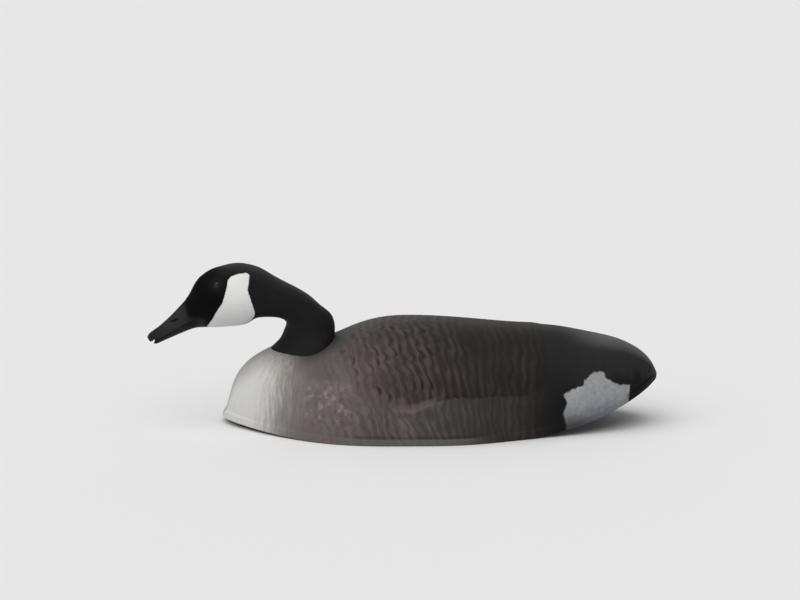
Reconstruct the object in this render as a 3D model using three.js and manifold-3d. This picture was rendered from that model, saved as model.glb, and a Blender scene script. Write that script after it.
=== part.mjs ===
// A Canada goose field decoy in the low, resting pose: a thin hollow body shell, open
// underneath, and a separate moulded head and neck whose spigot plugs into the shell.
//
// Millimetres, +Z up. The bird faces -X, and Y = 0 is its plane of symmetry. The origin is on
// the ground, midway between the tip of the bill and the tip of the tail.
//
// Along the body, "at" is the distance behind the tip of the breast.

import * as THREE from "three";
import { mergeVertices } from "three/addons/utils/BufferGeometryUtils.js";
import Module from "manifold-3d";

const wasm = await Module();
wasm.setup();

// Body shell
const BODY_LENGTH = 562; // tip of the breast to tip of the tail
const BODY_WIDTH = 266; // across the rim at its widest
const BACK_HEIGHT = 134; // top of the back above the ground, without the wings
const WALL = 3;
const BREAST_LIFT = 7.5; // the rim above the ground at the tip of the breast
const TAIL_LIFT = 60; // and at the tip of the tail
const FLAT_FROM = 130; // the rim lies flat on the ground from here
const FLAT_TO = 366; // to here
const LIP_PROUD = 2; // how far the rim's lip stands out from the wall
const LIP_HEIGHT = 8;
const LIP_FADE = 0.03; // share of the length over which the lip dies away at each end
const WING_RELIEF = 1.6; // how far the folded wings stand out

// Socket in the shell and spigot under the neck
const SOCKET_AT = 99;
const SOCKET_LEAN = 12; // degrees that the socket's axis leans forward
const SOCKET_LENGTH = 58; // of the oval hole, along the body
const SOCKET_WIDTH = 44;
const COLLAR_DEPTH = 16; // of the collar around the hole, below the skin
const SPIGOT_DEPTH = 30; // of the spigot, below the skin
const SPIGOT_ROOT = 4; // how far it runs up into the neck
const SPIGOT_PLAY = 0.4; // clearance all round the spigot
const SEAT_GAP = 0.3; // between the neck's foot and the shell

// Head and neck
const HEAD_LENGTH = 240; // tip of the bill to the back of the neck
const EYE_DIAMETER = 10;
const EYE_PROUD = 2;
const NOSTRIL_LENGTH = 11;
const NOSTRIL_HEIGHT = 3.6;
const NOSTRIL_DEPTH = 1.6;
const MOUTH_GROOVE = 1.3; // depth of the line between the mandibles

// How finely the forms are cut into faces
const BODY_HOOPS = 48;
const BODY_SIDES = 14; // faces from the lip to the spine
const CAVITY_HOOPS = 30;
const CAVITY_SIDES = 10;
const HEAD_RINGS = 46;
const HEAD_SIDES = 28;
const OVAL_SIDES = 28;

// The body's lines, one row for each hoop: where the spine is and how high, then where the rim
// is and its half width. Shares of BODY_LENGTH, BACK_HEIGHT and half of BODY_WIDTH.
const BODY_LINES = [
  [0.0, 0.056, 0.0, 0.0],
  [0.011, 0.203, 0.005, 0.083],
  [0.025, 0.401, 0.021, 0.21],
  [0.051, 0.563, 0.055, 0.368],
  [0.092, 0.683, 0.109, 0.571],
  [0.157, 0.778, 0.174, 0.76],
  [0.242, 0.823, 0.249, 0.917],
  [0.338, 0.956, 0.338, 0.996],
  [0.436, 1.0, 0.436, 1.0],
  [0.552, 0.976, 0.552, 0.962],
  [0.667, 0.943, 0.662, 0.805],
  [0.757, 0.928, 0.756, 0.662],
  [0.838, 0.872, 0.836, 0.556],
  [0.911, 0.801, 0.904, 0.429],
  [0.965, 0.683, 0.956, 0.286],
  [0.99, 0.565, 0.984, 0.143],
  [1.0, 0.475, 1.0, 0.0],
];

// How square each hoop's shoulders are, breast to tail: 1 is an ellipse, less is squarer.
const SHOULDERS = [1.0, 0.95, 0.9, 0.88, 0.84, 0.82, 0.82];
const SIDE_SWELL = 0.03; // how far the side swells out above the rim, as a share

// The folded wing's lower edge, evenly from WING_FROM to WING_TO along the body, as a share of
// the side's height.
const WING_FROM = 0.25;
const WING_TO = 0.74;
const WING_EDGE = [1.0, 0.6, 0.37, 0.34, 0.43, 0.46, 0.45, 0.46, 0.5];
const WING_SOFTNESS = 0.16; // share of the side's height over which the wing rises
const WING_ENDS = 0.06; // share of the wing's length over which it rises at each end

// The head and neck as sections from the root of the neck to the tip of the bill. Each row is
// the outer end of a section and its inner end, then its half width. Shares of HEAD_LENGTH,
// measured back and up from the middle of the socket.
const HEAD_LINES = [
  [0.175, -0.085, -0.206, -0.14, 0.216],
  [0.187, 0.015, -0.168, -0.055, 0.182],
  [0.192, 0.081, -0.11, 0.009, 0.148],
  [0.171, 0.147, -0.082, 0.064, 0.134],
  [0.115, 0.196, -0.072, 0.109, 0.126],
  [0.057, 0.249, -0.113, 0.133, 0.119],
  [-0.03, 0.303, -0.175, 0.136, 0.116],
  [-0.123, 0.352, -0.234, 0.128, 0.119],
  [-0.201, 0.399, -0.275, 0.102, 0.123],
  [-0.277, 0.424, -0.334, 0.088, 0.127],
  [-0.348, 0.428, -0.394, 0.083, 0.125],
  [-0.414, 0.414, -0.442, 0.079, 0.119],
  [-0.476, 0.393, -0.48, 0.079, 0.108],
  [-0.532, 0.352, -0.507, 0.078, 0.094],
  [-0.567, 0.303, -0.529, 0.077, 0.077],
  [-0.595, 0.25, -0.556, 0.074, 0.067],
  [-0.632, 0.205, -0.591, 0.063, 0.06],
  [-0.681, 0.152, -0.639, 0.043, 0.055],
  [-0.73, 0.105, -0.691, 0.02, 0.052],
  [-0.775, 0.067, -0.74, -0.002, 0.047],
  [-0.805, 0.045, -0.772, -0.015, 0.035],
  [-0.82, 0.022, -0.798, -0.009, 0.017],
];
// How much fuller each section is on its outer side than on its inner side, evenly along.
const HEAD_LEAN = [0.3, 0.0, -0.08, -0.1, -0.1, 0.0, 0.0];
const FOOT_TO = 0.17; // the neck's foot spreads out below this share of the way along
const FOOT_SPREAD = 0.17; // how much wider it gets, as a share
const FOOT_SQUARE = 0.3; // how square its corners get: 0 is an ellipse
const FOOT_FRONT = 0.2; // how much of the spread reaches the throat's side
const BILL_FROM = 0.66; // the bill begins at this share of the way along the sections
const BILL_TIP_RIDGE = 0.55; // how narrow the bill's ridge is, as a share of an oval's width
const MOUTH_TURN = 116; // degrees round from the ridge of the bill to the mouth line
const EYE_ALONG = 0.537; // place along the sections
const EYE_TURN = 59; // degrees round from the top of the section
const NOSTRIL_ALONG = 0.812;
const NOSTRIL_TURN = 62;

const UNDER_GROUND = -20; // how far down the cavity's cutter reaches

const clamp01 = (x) => Math.min(1, Math.max(0, x));
const smoothstep = (x) => clamp01(x) ** 2 * (3 - 2 * clamp01(x));
const radians = THREE.MathUtils.degToRad;

// A natural cubic spline through values spaced evenly from 0 to 1.
function smoothThrough(values) {
  const last = values.length - 1;
  const bend = new Array(last + 1).fill(0);
  const carry = new Array(last + 1).fill(0);
  for (let i = 1; i < last; i++) {
    const pivot = bend[i - 1] / 2 + 2;
    const turn = values[i + 1] - 2 * values[i] + values[i - 1];
    bend[i] = -0.5 / pivot;
    carry[i] = (3 * turn - carry[i - 1] / 2) / pivot;
  }
  for (let i = last - 1; i > 0; i--) bend[i] = bend[i] * bend[i + 1] + carry[i];
  return (share) => {
    const place = clamp01(share) * last;
    const i = Math.min(last - 1, Math.floor(place));
    const b = place - i;
    const a = 1 - b;
    const curve = ((a ** 3 - a) * bend[i] + (b ** 3 - b) * bend[i + 1]) / 6;
    return a * values[i] + b * values[i + 1] + curve;
  };
}

const columns = (rows) => rows[0].map((_, c) => smoothThrough(rows.map((row) => row[c])));

const [spineAt, spineHeight, rimAt, rimHalf] = columns(BODY_LINES);
const shoulder = smoothThrough(SHOULDERS);
const wingEdge = smoothThrough(WING_EDGE);

// The rim is lifted at the breast and sweeps up to the tail.
function rimHeight(at) {
  const breast = clamp01(1 - at / FLAT_FROM);
  const tail = clamp01((at - FLAT_TO) / (BODY_LENGTH - FLAT_TO));
  return BREAST_LIFT * breast ** 1.3 + TAIL_LIFT * tail ** 2.1;
}

// How far the folded wing stands out at a place along the body and up its side.
function wingRelief(at, up) {
  const along = (at / BODY_LENGTH - WING_FROM) / (WING_TO - WING_FROM);
  const ends = smoothstep(along / (2 * WING_ENDS)) * smoothstep((1 - along) / WING_ENDS);
  return WING_RELIEF * ends * smoothstep((up - wingEdge(along)) / WING_SOFTNESS + 0.5);
}

// A point of the body's skin. "along" runs from breast to tail, and "turn" goes round the hoop
// from the near rim at 0, over the spine at a quarter turn, to the far rim at a half turn.
function skinPoint(along, turn) {
  const rise = Math.sin(turn);
  const reach = Math.cos(turn);
  const square = shoulder(along);
  const up = Math.max(rise, 0) ** square;
  const half = (rimHalf(along) * BODY_WIDTH) / 2;
  const swell = 1 + 4 * SIDE_SWELL * rise * (1 - rise);
  const at = BODY_LENGTH * THREE.MathUtils.lerp(rimAt(along), spineAt(along), rise);
  const low = rimHeight(BODY_LENGTH * rimAt(along));
  const high = spineHeight(along) * BACK_HEIGHT;
  const out = Math.sign(reach) * Math.abs(reach) ** square * half * swell;
  return new THREE.Vector3(at, -out, low + (high - low) * up);
}

// Hoops of the skin from breast to tail, each from the near rim over to the far rim.
function skinHoops(hoopCount, sideCount) {
  const hoops = [];
  for (let i = 1; i < hoopCount; i++) {
    const hoop = [];
    for (let j = 0; j <= 2 * sideCount; j++) {
      hoop.push(skinPoint(i / hoopCount, (Math.PI * j) / (2 * sideCount)));
    }
    hoops.push(hoop);
  }
  return hoops;
}

const breastTip = () => new THREE.Vector3(0, 0, BREAST_LIFT);
const tailTip = () => new THREE.Vector3(BODY_LENGTH, 0, TAIL_LIFT);

// Outward normals of a grid of hoops that closes to a point at both ends.
function hoopNormals(hoops) {
  return hoops.map((hoop, i) => {
    const before = hoops[i - 1] ?? hoop.map(breastTip);
    const after = hoops[i + 1] ?? hoop.map(tailTip);
    return hoop.map((_, j) => {
      const along = after[j].clone().sub(before[j]);
      const around = hoop[Math.min(j + 1, hoop.length - 1)].clone().sub(hoop[Math.max(j - 1, 0)]);
      return along.cross(around).normalize();
    });
  });
}

// The hoops moved out along their normals, by a distance or by a function of the point.
function grownHoops(hoops, distance) {
  const normals = hoopNormals(hoops);
  return hoops.map((hoop, i) =>
    hoop.map((p, j) => {
      const by = typeof distance === "function" ? distance(p, j, hoop) : distance;
      return p.clone().addScaledVector(normals[i][j], by);
    }),
  );
}

// A closed solid through rings of points, with a tip before the first and after the last.
function solidThrough(rings, firstTip, lastTip) {
  const sides = rings[0].length;
  const positions = [firstTip, ...rings.flat(), lastTip].flatMap((p) => p.toArray());
  const place = (i, j) => 1 + i * sides + (j % sides);
  const end = rings.length * sides + 1;
  const index = [];
  for (let j = 0; j < sides; j++) {
    index.push(0, place(0, j), place(0, j + 1));
    index.push(end, place(rings.length - 1, j + 1), place(rings.length - 1, j));
  }
  for (let i = 0; i + 1 < rings.length; i++) {
    for (let j = 0; j < sides; j++) {
      index.push(place(i, j), place(i + 1, j), place(i + 1, j + 1));
      index.push(place(i, j), place(i + 1, j + 1), place(i, j + 1));
    }
  }
  return solidOf(positions, index);
}

// A manifold solid from a list of coordinates and a list of triangles.
function solidOf(positions, index) {
  return new wasm.Manifold(
    new wasm.Mesh({
      numProp: 3,
      vertProperties: new Float32Array(positions),
      triVerts: new Uint32Array(index),
    }),
  );
}

// A manifold solid from a three.js geometry.
function solidFrom(geometry) {
  const bare = geometry.clone();
  bare.deleteAttribute("normal");
  bare.deleteAttribute("uv");
  const merged = mergeVertices(bare, 1e-4);
  return solidOf(merged.getAttribute("position").array, merged.index.array);
}

// The filled form of the body inside its skin, with the wings raised. "grow" moves it out.
function bodyForm(grow) {
  const plain = skinHoops(BODY_HOOPS, BODY_SIDES);
  const winged = grownHoops(plain, (p, j, hoop) => {
    const low = hoop[0].z;
    const high = hoop[BODY_SIDES].z;
    return wingRelief(p.x, (p.z - low) / (high - low));
  });
  const grown = grow ? grownHoops(winged, grow) : winged;
  return solidThrough(
    grown,
    breastTip().add(new THREE.Vector3(-grow, 0, 0)),
    tailTip().add(new THREE.Vector3(grow, 0, 0)),
  );
}

// The lip that runs round the rim and stands out from the wall, filled across.
function lipForm() {
  const rims = [];
  for (let i = 1; i < BODY_HOOPS; i++) {
    const along = i / BODY_HOOPS;
    const foot = skinPoint(along, 0);
    const step = 0.5 / BODY_HOOPS;
    const run = skinPoint(along + step, 0).sub(skinPoint(along - step, 0));
    const out = new THREE.Vector3(run.y, -run.x, 0).normalize();
    const tall = Math.min(LIP_HEIGHT, (spineHeight(along) * BACK_HEIGHT - foot.z) / 3);
    const proud = LIP_PROUD * smoothstep(along / LIP_FADE) * smoothstep((1 - along) / LIP_FADE);
    const low = foot.clone().addScaledVector(out, proud);
    const high = low.clone().setZ(foot.z + tall);
    const inset = tall / 2;
    const inner = foot.clone().addScaledVector(out, -inset).setZ(foot.z + tall + proud + inset);
    const mirrored = (p) => new THREE.Vector3(p.x, -p.y, p.z);
    rims.push([low, high, inner, mirrored(inner), mirrored(high), mirrored(low)]);
  }
  return solidThrough(rims, breastTip(), tailTip());
}

// The hollow inside the shell, carried down below the ground so that it cuts the shell open.
function cavityForm() {
  const inner = grownHoops(skinHoops(CAVITY_HOOPS, CAVITY_SIDES), -WALL);
  const rings = inner.map((hoop) => {
    const near = hoop[0].clone().setZ(UNDER_GROUND);
    const far = hoop[hoop.length - 1].clone().setZ(UNDER_GROUND);
    return [near, ...hoop, far];
  });
  const first = breastTip().add(new THREE.Vector3(WALL, 0, 0));
  const last = tailTip().add(new THREE.Vector3(-WALL, 0, 0));
  return solidThrough(rings, first, last);
}

// The middle of the socket, on the spine.
function socketPlace() {
  let along = 0;
  while (spineAt(along) * BODY_LENGTH < SOCKET_AT) along += 1e-4;
  return skinPoint(along, Math.PI / 2);
}

const socket = socketPlace();

// An upright oval prism at the socket, leaning with it, between two heights along its axis.
function socketPrism(length, width, bottom, top) {
  const oval = new THREE.Shape();
  oval.absellipse(0, 0, length / 2, width / 2, 0, 2 * Math.PI);
  const prism = new THREE.ExtrudeGeometry(oval, {
    depth: top - bottom,
    bevelEnabled: false,
    curveSegments: OVAL_SIDES,
  });
  prism.translate(0, 0, bottom);
  prism.rotateY(-radians(SOCKET_LEAN));
  prism.translate(...socket.toArray());
  return solidFrom(prism);
}

// The shell: the body's form and lip, hollowed out, with a collar round the socket's hole.
function shellSolid() {
  const skin = bodyForm(0);
  const collar = socketPrism(
    SOCKET_LENGTH + 2 * WALL,
    SOCKET_WIDTH + 2 * WALL,
    -WALL - COLLAR_DEPTH,
    BACK_HEIGHT,
  ).intersect(skin);
  const hole = socketPrism(SOCKET_LENGTH, SOCKET_WIDTH, -2 * COLLAR_DEPTH - WALL, BACK_HEIGHT);
  return skin.add(lipForm()).subtract(cavityForm()).add(collar).subtract(hole);
}

const [outerX, outerZ, innerX, innerZ, headHalf] = columns(HEAD_LINES);
const headLean = smoothThrough(HEAD_LEAN);

// The frame of a head section: its middle, its half depth towards the crown, its half width.
function headSection(along) {
  const outer = new THREE.Vector3(outerX(along), 0, outerZ(along)).multiplyScalar(HEAD_LENGTH);
  const inner = new THREE.Vector3(innerX(along), 0, innerZ(along)).multiplyScalar(HEAD_LENGTH);
  return {
    middle: outer.clone().add(inner).multiplyScalar(0.5).add(socket),
    crown: outer.clone().sub(inner).multiplyScalar(0.5),
    half: headHalf(along) * HEAD_LENGTH,
  };
}

// A point of the head's skin. "turn" is 0 at the crown or the back of the neck, and a half
// turn at the throat. The bill narrows to a ridge above and is fullest at the mouth.
function headPoint(along, turn) {
  const { middle, crown, half } = headSection(along);
  const bill = smoothstep((along - BILL_FROM) / 0.12);
  const down = (1 - Math.cos(turn)) / 2;
  const ridge = THREE.MathUtils.lerp(1, BILL_TIP_RIDGE + (1 - BILL_TIP_RIDGE) * down, bill);
  const foot = smoothstep(1 - along / FOOT_TO) * THREE.MathUtils.lerp(1, FOOT_FRONT, down);
  const out = Math.sign(Math.sin(turn)) * Math.abs(Math.sin(turn)) ** (1 - FOOT_SQUARE * foot);
  const wide = half * (1 + FOOT_SPREAD * foot) * ridge;
  const side = out * wide * (1 + headLean(along) * Math.cos(turn));
  return middle.clone().addScaledVector(crown, Math.cos(turn)).add(new THREE.Vector3(0, -side, 0));
}

// The head and neck, from the root of the neck down inside the shell to the tip of the bill.
function headForm() {
  const mouthSide = Math.round((MOUTH_TURN / 360) * HEAD_SIDES);
  const rings = [];
  for (let i = 0; i <= HEAD_RINGS; i++) {
    const along = i / HEAD_RINGS;
    const { middle } = headSection(along);
    const mouth = MOUTH_GROOVE * smoothstep((along - BILL_FROM) / 0.06);
    const ring = [];
    for (let j = 0; j < HEAD_SIDES; j++) {
      const point = headPoint(along, (2 * Math.PI * j) / HEAD_SIDES);
      if (j === mouthSide || j === HEAD_SIDES - mouthSide) {
        point.addScaledVector(middle.clone().sub(point).normalize(), mouth);
      }
      ring.push(point);
    }
    rings.push(ring);
  }
  return solidThrough(rings, headSection(0).middle, headSection(1).middle);
}

// A ball squashed to a length, a depth and a height, laid along the head's skin and sunk in it.
function bead(along, turn, length, depth, height, sunk) {
  const step = 0.01;
  const on = headPoint(along, turn);
  const run = headPoint(along + step, turn).sub(headPoint(along - step, turn)).normalize();
  const round = headPoint(along, turn + step).sub(headPoint(along, turn - step)).normalize();
  const out = round.cross(run).normalize();
  if (out.dot(on.clone().sub(headSection(along).middle)) < 0) out.negate();
  const ball = new THREE.SphereGeometry(0.5, 12, 8).scale(length, depth, height);
  ball.applyMatrix4(new THREE.Matrix4().makeBasis(run, out, run.clone().cross(out)));
  ball.translate(...on.addScaledVector(out, -sunk).toArray());
  return solidFrom(ball);
}

// The head and neck with eyes, nostrils and mouth, its foot cut to the shell, and its spigot.
function headSolid() {
  const eye = [EYE_DIAMETER, EYE_DIAMETER, EYE_DIAMETER, EYE_DIAMETER / 2 - EYE_PROUD];
  const nostril = [NOSTRIL_LENGTH, 2 * NOSTRIL_DEPTH, NOSTRIL_HEIGHT, 0];
  let carved = headForm();
  for (const side of [1, -1]) {
    carved = carved.add(bead(EYE_ALONG, side * radians(EYE_TURN), ...eye));
    carved = carved.subtract(bead(NOSTRIL_ALONG, side * radians(NOSTRIL_TURN), ...nostril));
  }
  const spigot = socketPrism(
    SOCKET_LENGTH - 2 * SPIGOT_PLAY,
    SOCKET_WIDTH - 2 * SPIGOT_PLAY,
    -SPIGOT_DEPTH,
    SPIGOT_ROOT,
  );
  return carved.subtract(bodyForm(SEAT_GAP)).add(spigot);
}

// A named mesh from a manifold solid, measured from its own origin.
function meshOf(name, solid, origin, material) {
  const made = solid.getMesh();
  const geometry = new THREE.BufferGeometry();
  geometry.setAttribute("position", new THREE.BufferAttribute(made.vertProperties, 3));
  geometry.setIndex(new THREE.BufferAttribute(made.triVerts, 1));
  geometry.translate(-origin.x, -origin.y, -origin.z);
  geometry.computeVertexNormals();
  const mesh = new THREE.Mesh(geometry, material);
  mesh.name = name;
  return mesh;
}

const bodyPaint = new THREE.MeshStandardMaterial({ color: 0x5d5552, roughness: 0.7 });
const headPaint = new THREE.MeshStandardMaterial({ color: 0x1b1c1e, roughness: 0.5 });

const decoy = new THREE.Group();
decoy.name = "goose_decoy";

const body = new THREE.Group();
body.position.x = -(headPoint(1, 0).x + BODY_LENGTH) / 2;
decoy.add(body);

body.add(meshOf("body_shell", shellSolid(), new THREE.Vector3(), bodyPaint));

const neck = new THREE.Group();
neck.position.copy(socket);
neck.add(meshOf("head_and_neck", headSolid(), socket, headPaint));
body.add(neck);

export default decoy;
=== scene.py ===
"""A hand-painted goose field decoy in its low, resting pose, on a pale studio floor.

The decoy is a thin hollow body shell, open underneath, and a head and neck that plugs into it.
Lengths in the forms are millimetres, measured as on the bench: "behind" is the distance behind
the tip of the breast. They become metres in the row frame only when a mesh is made.
"""
import logging
import math
from dataclasses import dataclass, field
from enum import Enum, IntEnum
from typing import Sequence

import bmesh
import bpy
import numpy as np
from bpy.types import Material, NodeSocket, Object
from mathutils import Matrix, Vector
from mathutils.bvhtree import BVHTree


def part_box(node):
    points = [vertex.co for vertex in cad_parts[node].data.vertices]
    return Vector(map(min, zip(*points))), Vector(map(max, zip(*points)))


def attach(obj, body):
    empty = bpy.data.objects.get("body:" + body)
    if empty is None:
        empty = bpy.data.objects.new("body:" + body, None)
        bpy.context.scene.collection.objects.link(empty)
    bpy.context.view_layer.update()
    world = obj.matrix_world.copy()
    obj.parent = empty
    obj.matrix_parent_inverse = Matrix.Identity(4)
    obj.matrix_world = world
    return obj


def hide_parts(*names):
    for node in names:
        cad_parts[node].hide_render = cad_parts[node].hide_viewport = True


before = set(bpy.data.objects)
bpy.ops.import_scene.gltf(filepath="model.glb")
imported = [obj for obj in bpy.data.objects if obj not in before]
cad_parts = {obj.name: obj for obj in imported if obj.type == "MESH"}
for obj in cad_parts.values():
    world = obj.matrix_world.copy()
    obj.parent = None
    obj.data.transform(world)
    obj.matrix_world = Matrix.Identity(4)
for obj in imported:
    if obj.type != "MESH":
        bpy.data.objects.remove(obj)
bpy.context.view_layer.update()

LOG = logging.getLogger("goose_decoy")
Array = np.ndarray
Colour = tuple[float, float, float]
Tones = tuple[tuple[float, Colour], ...]
Pair = tuple[float, float]
Outline = tuple[Pair, ...]
# Where something starts, where it is full, where it begins to fade, and where it has gone.
Span = tuple[float, float, float, float]

MILLIMETRE = 0.001
QUARTER_TURN = math.pi / 2.0
ROOT = "root"
SHELL_NODE = "body_shell"
HEAD_NODE = "head_and_neck"

# The body's lines, one row for each hoop: where the spine is and how high, then where the rim is
# and its half width. Shares of the body's length, the back's height and half the body's width.
BODY_LINES = (
    (0.0, 0.056, 0.0, 0.0),
    (0.011, 0.203, 0.005, 0.083),
    (0.025, 0.401, 0.021, 0.21),
    (0.051, 0.563, 0.055, 0.368),
    (0.092, 0.683, 0.109, 0.571),
    (0.157, 0.778, 0.174, 0.76),
    (0.242, 0.823, 0.249, 0.917),
    (0.338, 0.956, 0.338, 0.996),
    (0.436, 1.0, 0.436, 1.0),
    (0.552, 0.976, 0.552, 0.962),
    (0.667, 0.943, 0.662, 0.805),
    (0.757, 0.928, 0.756, 0.662),
    (0.838, 0.872, 0.836, 0.556),
    (0.911, 0.801, 0.904, 0.429),
    (0.965, 0.683, 0.956, 0.286),
    (0.99, 0.565, 0.984, 0.143),
    (1.0, 0.475, 1.0, 0.0),
)
SHOULDERS = (1.0, 0.95, 0.9, 0.88, 0.84, 0.82, 0.82)
WING_EDGE = (1.0, 0.6, 0.37, 0.34, 0.43, 0.46, 0.45, 0.46, 0.5)

# The head and neck as sections from the root of the neck to the tip of the bill: the outer end,
# the inner end and the half width, as shares of the head's length, from the socket's middle.
HEAD_LINES = (
    (0.175, -0.085, -0.206, -0.14, 0.216),
    (0.187, 0.015, -0.168, -0.055, 0.182),
    (0.192, 0.081, -0.11, 0.009, 0.148),
    (0.171, 0.147, -0.082, 0.064, 0.134),
    (0.115, 0.196, -0.072, 0.109, 0.126),
    (0.057, 0.249, -0.113, 0.133, 0.119),
    (-0.03, 0.303, -0.175, 0.136, 0.116),
    (-0.123, 0.352, -0.234, 0.128, 0.119),
    (-0.201, 0.399, -0.275, 0.102, 0.123),
    (-0.277, 0.424, -0.334, 0.088, 0.127),
    (-0.348, 0.428, -0.394, 0.083, 0.125),
    (-0.414, 0.414, -0.442, 0.079, 0.119),
    (-0.476, 0.393, -0.48, 0.079, 0.108),
    (-0.532, 0.352, -0.507, 0.078, 0.094),
    (-0.567, 0.303, -0.529, 0.077, 0.077),
    (-0.595, 0.25, -0.556, 0.074, 0.067),
    (-0.632, 0.205, -0.591, 0.063, 0.06),
    (-0.681, 0.152, -0.639, 0.043, 0.055),
    (-0.73, 0.105, -0.691, 0.02, 0.052),
    (-0.775, 0.067, -0.74, -0.002, 0.047),
    (-0.805, 0.045, -0.772, -0.015, 0.035),
    (-0.82, 0.022, -0.798, -0.009, 0.017),
)
HEAD_LEAN = (0.3, 0.0, -0.08, -0.1, -0.1, 0.0, 0.0)

# Painted patches as outlines seen from the side: millimetres behind the breast's tip, and up.
RUMP_PATCH = (
    (440.0, -12.0), (440.4, 15.3), (437.1, 30.9), (441.6, 42.2), (440.4, 47.2), (436.6, 54.6),
    (449.2, 59.6), (456.3, 61.6), (462.8, 64.8), (464.4, 70.2), (468.7, 73.4), (475.3, 78.6),
    (484.4, 79.4), (489.0, 78.6), (492.1, 70.9), (501.3, 65.1), (509.8, 60.8), (523.9, 58.9),
    (522.7, 48.4), (521.3, 39.8), (519.5, 20.0), (519.0, -12.0),
)
CHEEK_PATCH = (
    (8.6, 190.4), (12.4, 194.8), (22.0, 197.9), (32.0, 198.9), (36.2, 196.4), (34.0, 178.7),
    (37.2, 168.4), (40.2, 158.6), (42.4, 151.2), (42.8, 145.6), (39.8, 139.6), (35.4, 131.0),
    (20.0, 118.0), (-23.0, 116.0), (-18.8, 129.0), (-12.4, 138.4), (-6.4, 149.9), (1.2, 160.8),
    (4.6, 171.2), (7.2, 181.1),
)
BILL_SIDE = (
    (-52.0, 176.0), (-48.4, 164.0), (-46.0, 158.0), (-44.8, 152.0), (-44.2, 146.5),
    (-42.2, 143.2), (-38.2, 141.8), (-33.2, 141.4), (-25.6, 140.8), (-20.8, 139.4),
    (-19.6, 135.0), (-21.0, 112.0), (-130.0, 80.0), (-130.0, 200.0),
)


class FeatherField(Enum):
    """The fields of feathers, by the word that their stored numbers begin with."""

    WING = "wing"
    FLANK = "flank"
    BREAST = "breast"

    @property
    def row(self) -> str:
        """Returns the name of the stored rows."""
        return f"{self.value}_row"

    @property
    def column(self) -> str:
        """Returns the name of the stored columns."""
        return f"{self.value}_column"


class Coat(IntEnum):
    """Which of a piece's finishes a face has, by its place in the piece's list."""

    PAINT = 0
    BARE = 1


def clamp01(value: Array) -> Array:
    """Returns the value held between 0 and 1."""
    return np.clip(value, 0.0, 1.0)


def smoothstep(value: Array) -> Array:
    """Returns a soft rise from 0 to 1 as the value goes from 0 to 1."""
    held = clamp01(value)
    return held * held * (3.0 - 2.0 * held)


def soft(value: Array, low: float, high: float) -> Array:
    """Returns a soft rise from 0 to 1 as the value goes from low to high."""
    return smoothstep((value - low) / (high - low))


def ends_faded(share: Array, first: float, last: float) -> Array:
    """Returns 1 along a share of a length, which falls softly to 0 near its two ends."""
    return smoothstep(share / first) * smoothstep((1.0 - share) / last)


def bell(value: Array, middle: float, half: float) -> Array:
    """Returns a bump that is 1 at the middle and falls away over a half width."""
    return np.exp(-(((value - middle) / half) ** 2))


def between(low: Array, high: Array, share: Array) -> Array:
    """Returns the value that lies at a share of the way from low to high."""
    return low + (high - low) * share


def unit(vectors: Array) -> Array:
    """Returns the vectors at length one."""
    return vectors / np.maximum(np.linalg.norm(vectors, axis=-1, keepdims=True), 1e-9)


def lengths_along(points: Array, axis: int = 0) -> Array:
    """Returns the distance along lines of points, from 0 at each line's first point."""
    step = np.linalg.norm(np.diff(points, axis=axis), axis=-1)
    return np.concatenate((np.zeros_like(step.take([0], axis)), np.cumsum(step, axis)), axis)


def looped(ring: Array) -> Array:
    """Returns rings of numbers, each with its first number once more at its end."""
    return np.concatenate((ring, ring[..., :1]), axis=-1)


def quads(numbers: Array) -> Array:
    """Returns the four corners of each face between the points of a grid."""
    corners = (numbers[:-1, :-1], numbers[1:, :-1], numbers[1:, 1:], numbers[:-1, 1:])
    return np.stack(corners, axis=-1)


def crossing(values: Array, level: float) -> Array:
    """Returns where a rising list of values passes a level, as a share of the list."""
    return np.interp(level, values, np.linspace(0.0, 1.0, len(values)))


class SmoothCurve:
    """A natural cubic curve through values spaced evenly from 0 to 1."""

    def __init__(self, values: Sequence[float]) -> None:
        """Works out how the curve bends at each value.

        Args:
            values: The values that the curve passes through.
        """
        self.values = np.asarray(values, float)
        self.bends = np.zeros(len(self.values))
        inner = len(self.values) - 2
        matrix = 4.0 * np.eye(inner) + np.eye(inner, k=1) + np.eye(inner, k=-1)
        turns = self.values[2:] - 2.0 * self.values[1:-1] + self.values[:-2]
        self.bends[1:-1] = np.linalg.solve(matrix, 6.0 * turns)

    def __call__(self, share: Array) -> Array:
        """Reads the curve.

        Args:
            share: Places along the curve, from 0 to 1.

        Returns:
            The curve's value at each place.
        """
        last = len(self.values) - 1
        place = clamp01(np.asarray(share, float)) * last
        i = np.minimum(last - 1, np.floor(place)).astype(int)
        b = place - i
        a = 1.0 - b
        curve = ((a**3 - a) * self.bends[i] + (b**3 - b) * self.bends[i + 1]) / 6.0
        return a * self.values[i] + b * self.values[i + 1] + curve


class Ripple:
    """Smooth and repeatable unevenness in two directions, made of crossed waves."""

    def __init__(self, seed: int, size: float, waves: int = 14) -> None:
        """Draws the waves.

        Args:
            seed: Which pattern to draw.
            size: The typical length of a bump.
            waves: How many waves cross.
        """
        draw = np.random.default_rng(seed)
        self.pitch = draw.normal(size=(waves, 2)) * 2.0 / size
        self.phase = draw.uniform(0.0, 2.0 * math.pi, waves)

    def __call__(self, x: Array, y: Array) -> Array:
        """Reads the unevenness.

        Args:
            x: First coordinate of each place.
            y: Second coordinate of each place.

        Returns:
            Values around zero, mostly between -1 and 1.
        """
        total = np.zeros(np.broadcast(x, y).shape)
        for (kx, ky), phase in zip(self.pitch, self.phase):
            total += np.sin(kx * x + ky * y + phase)
        return total / math.sqrt(len(self.phase))


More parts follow.
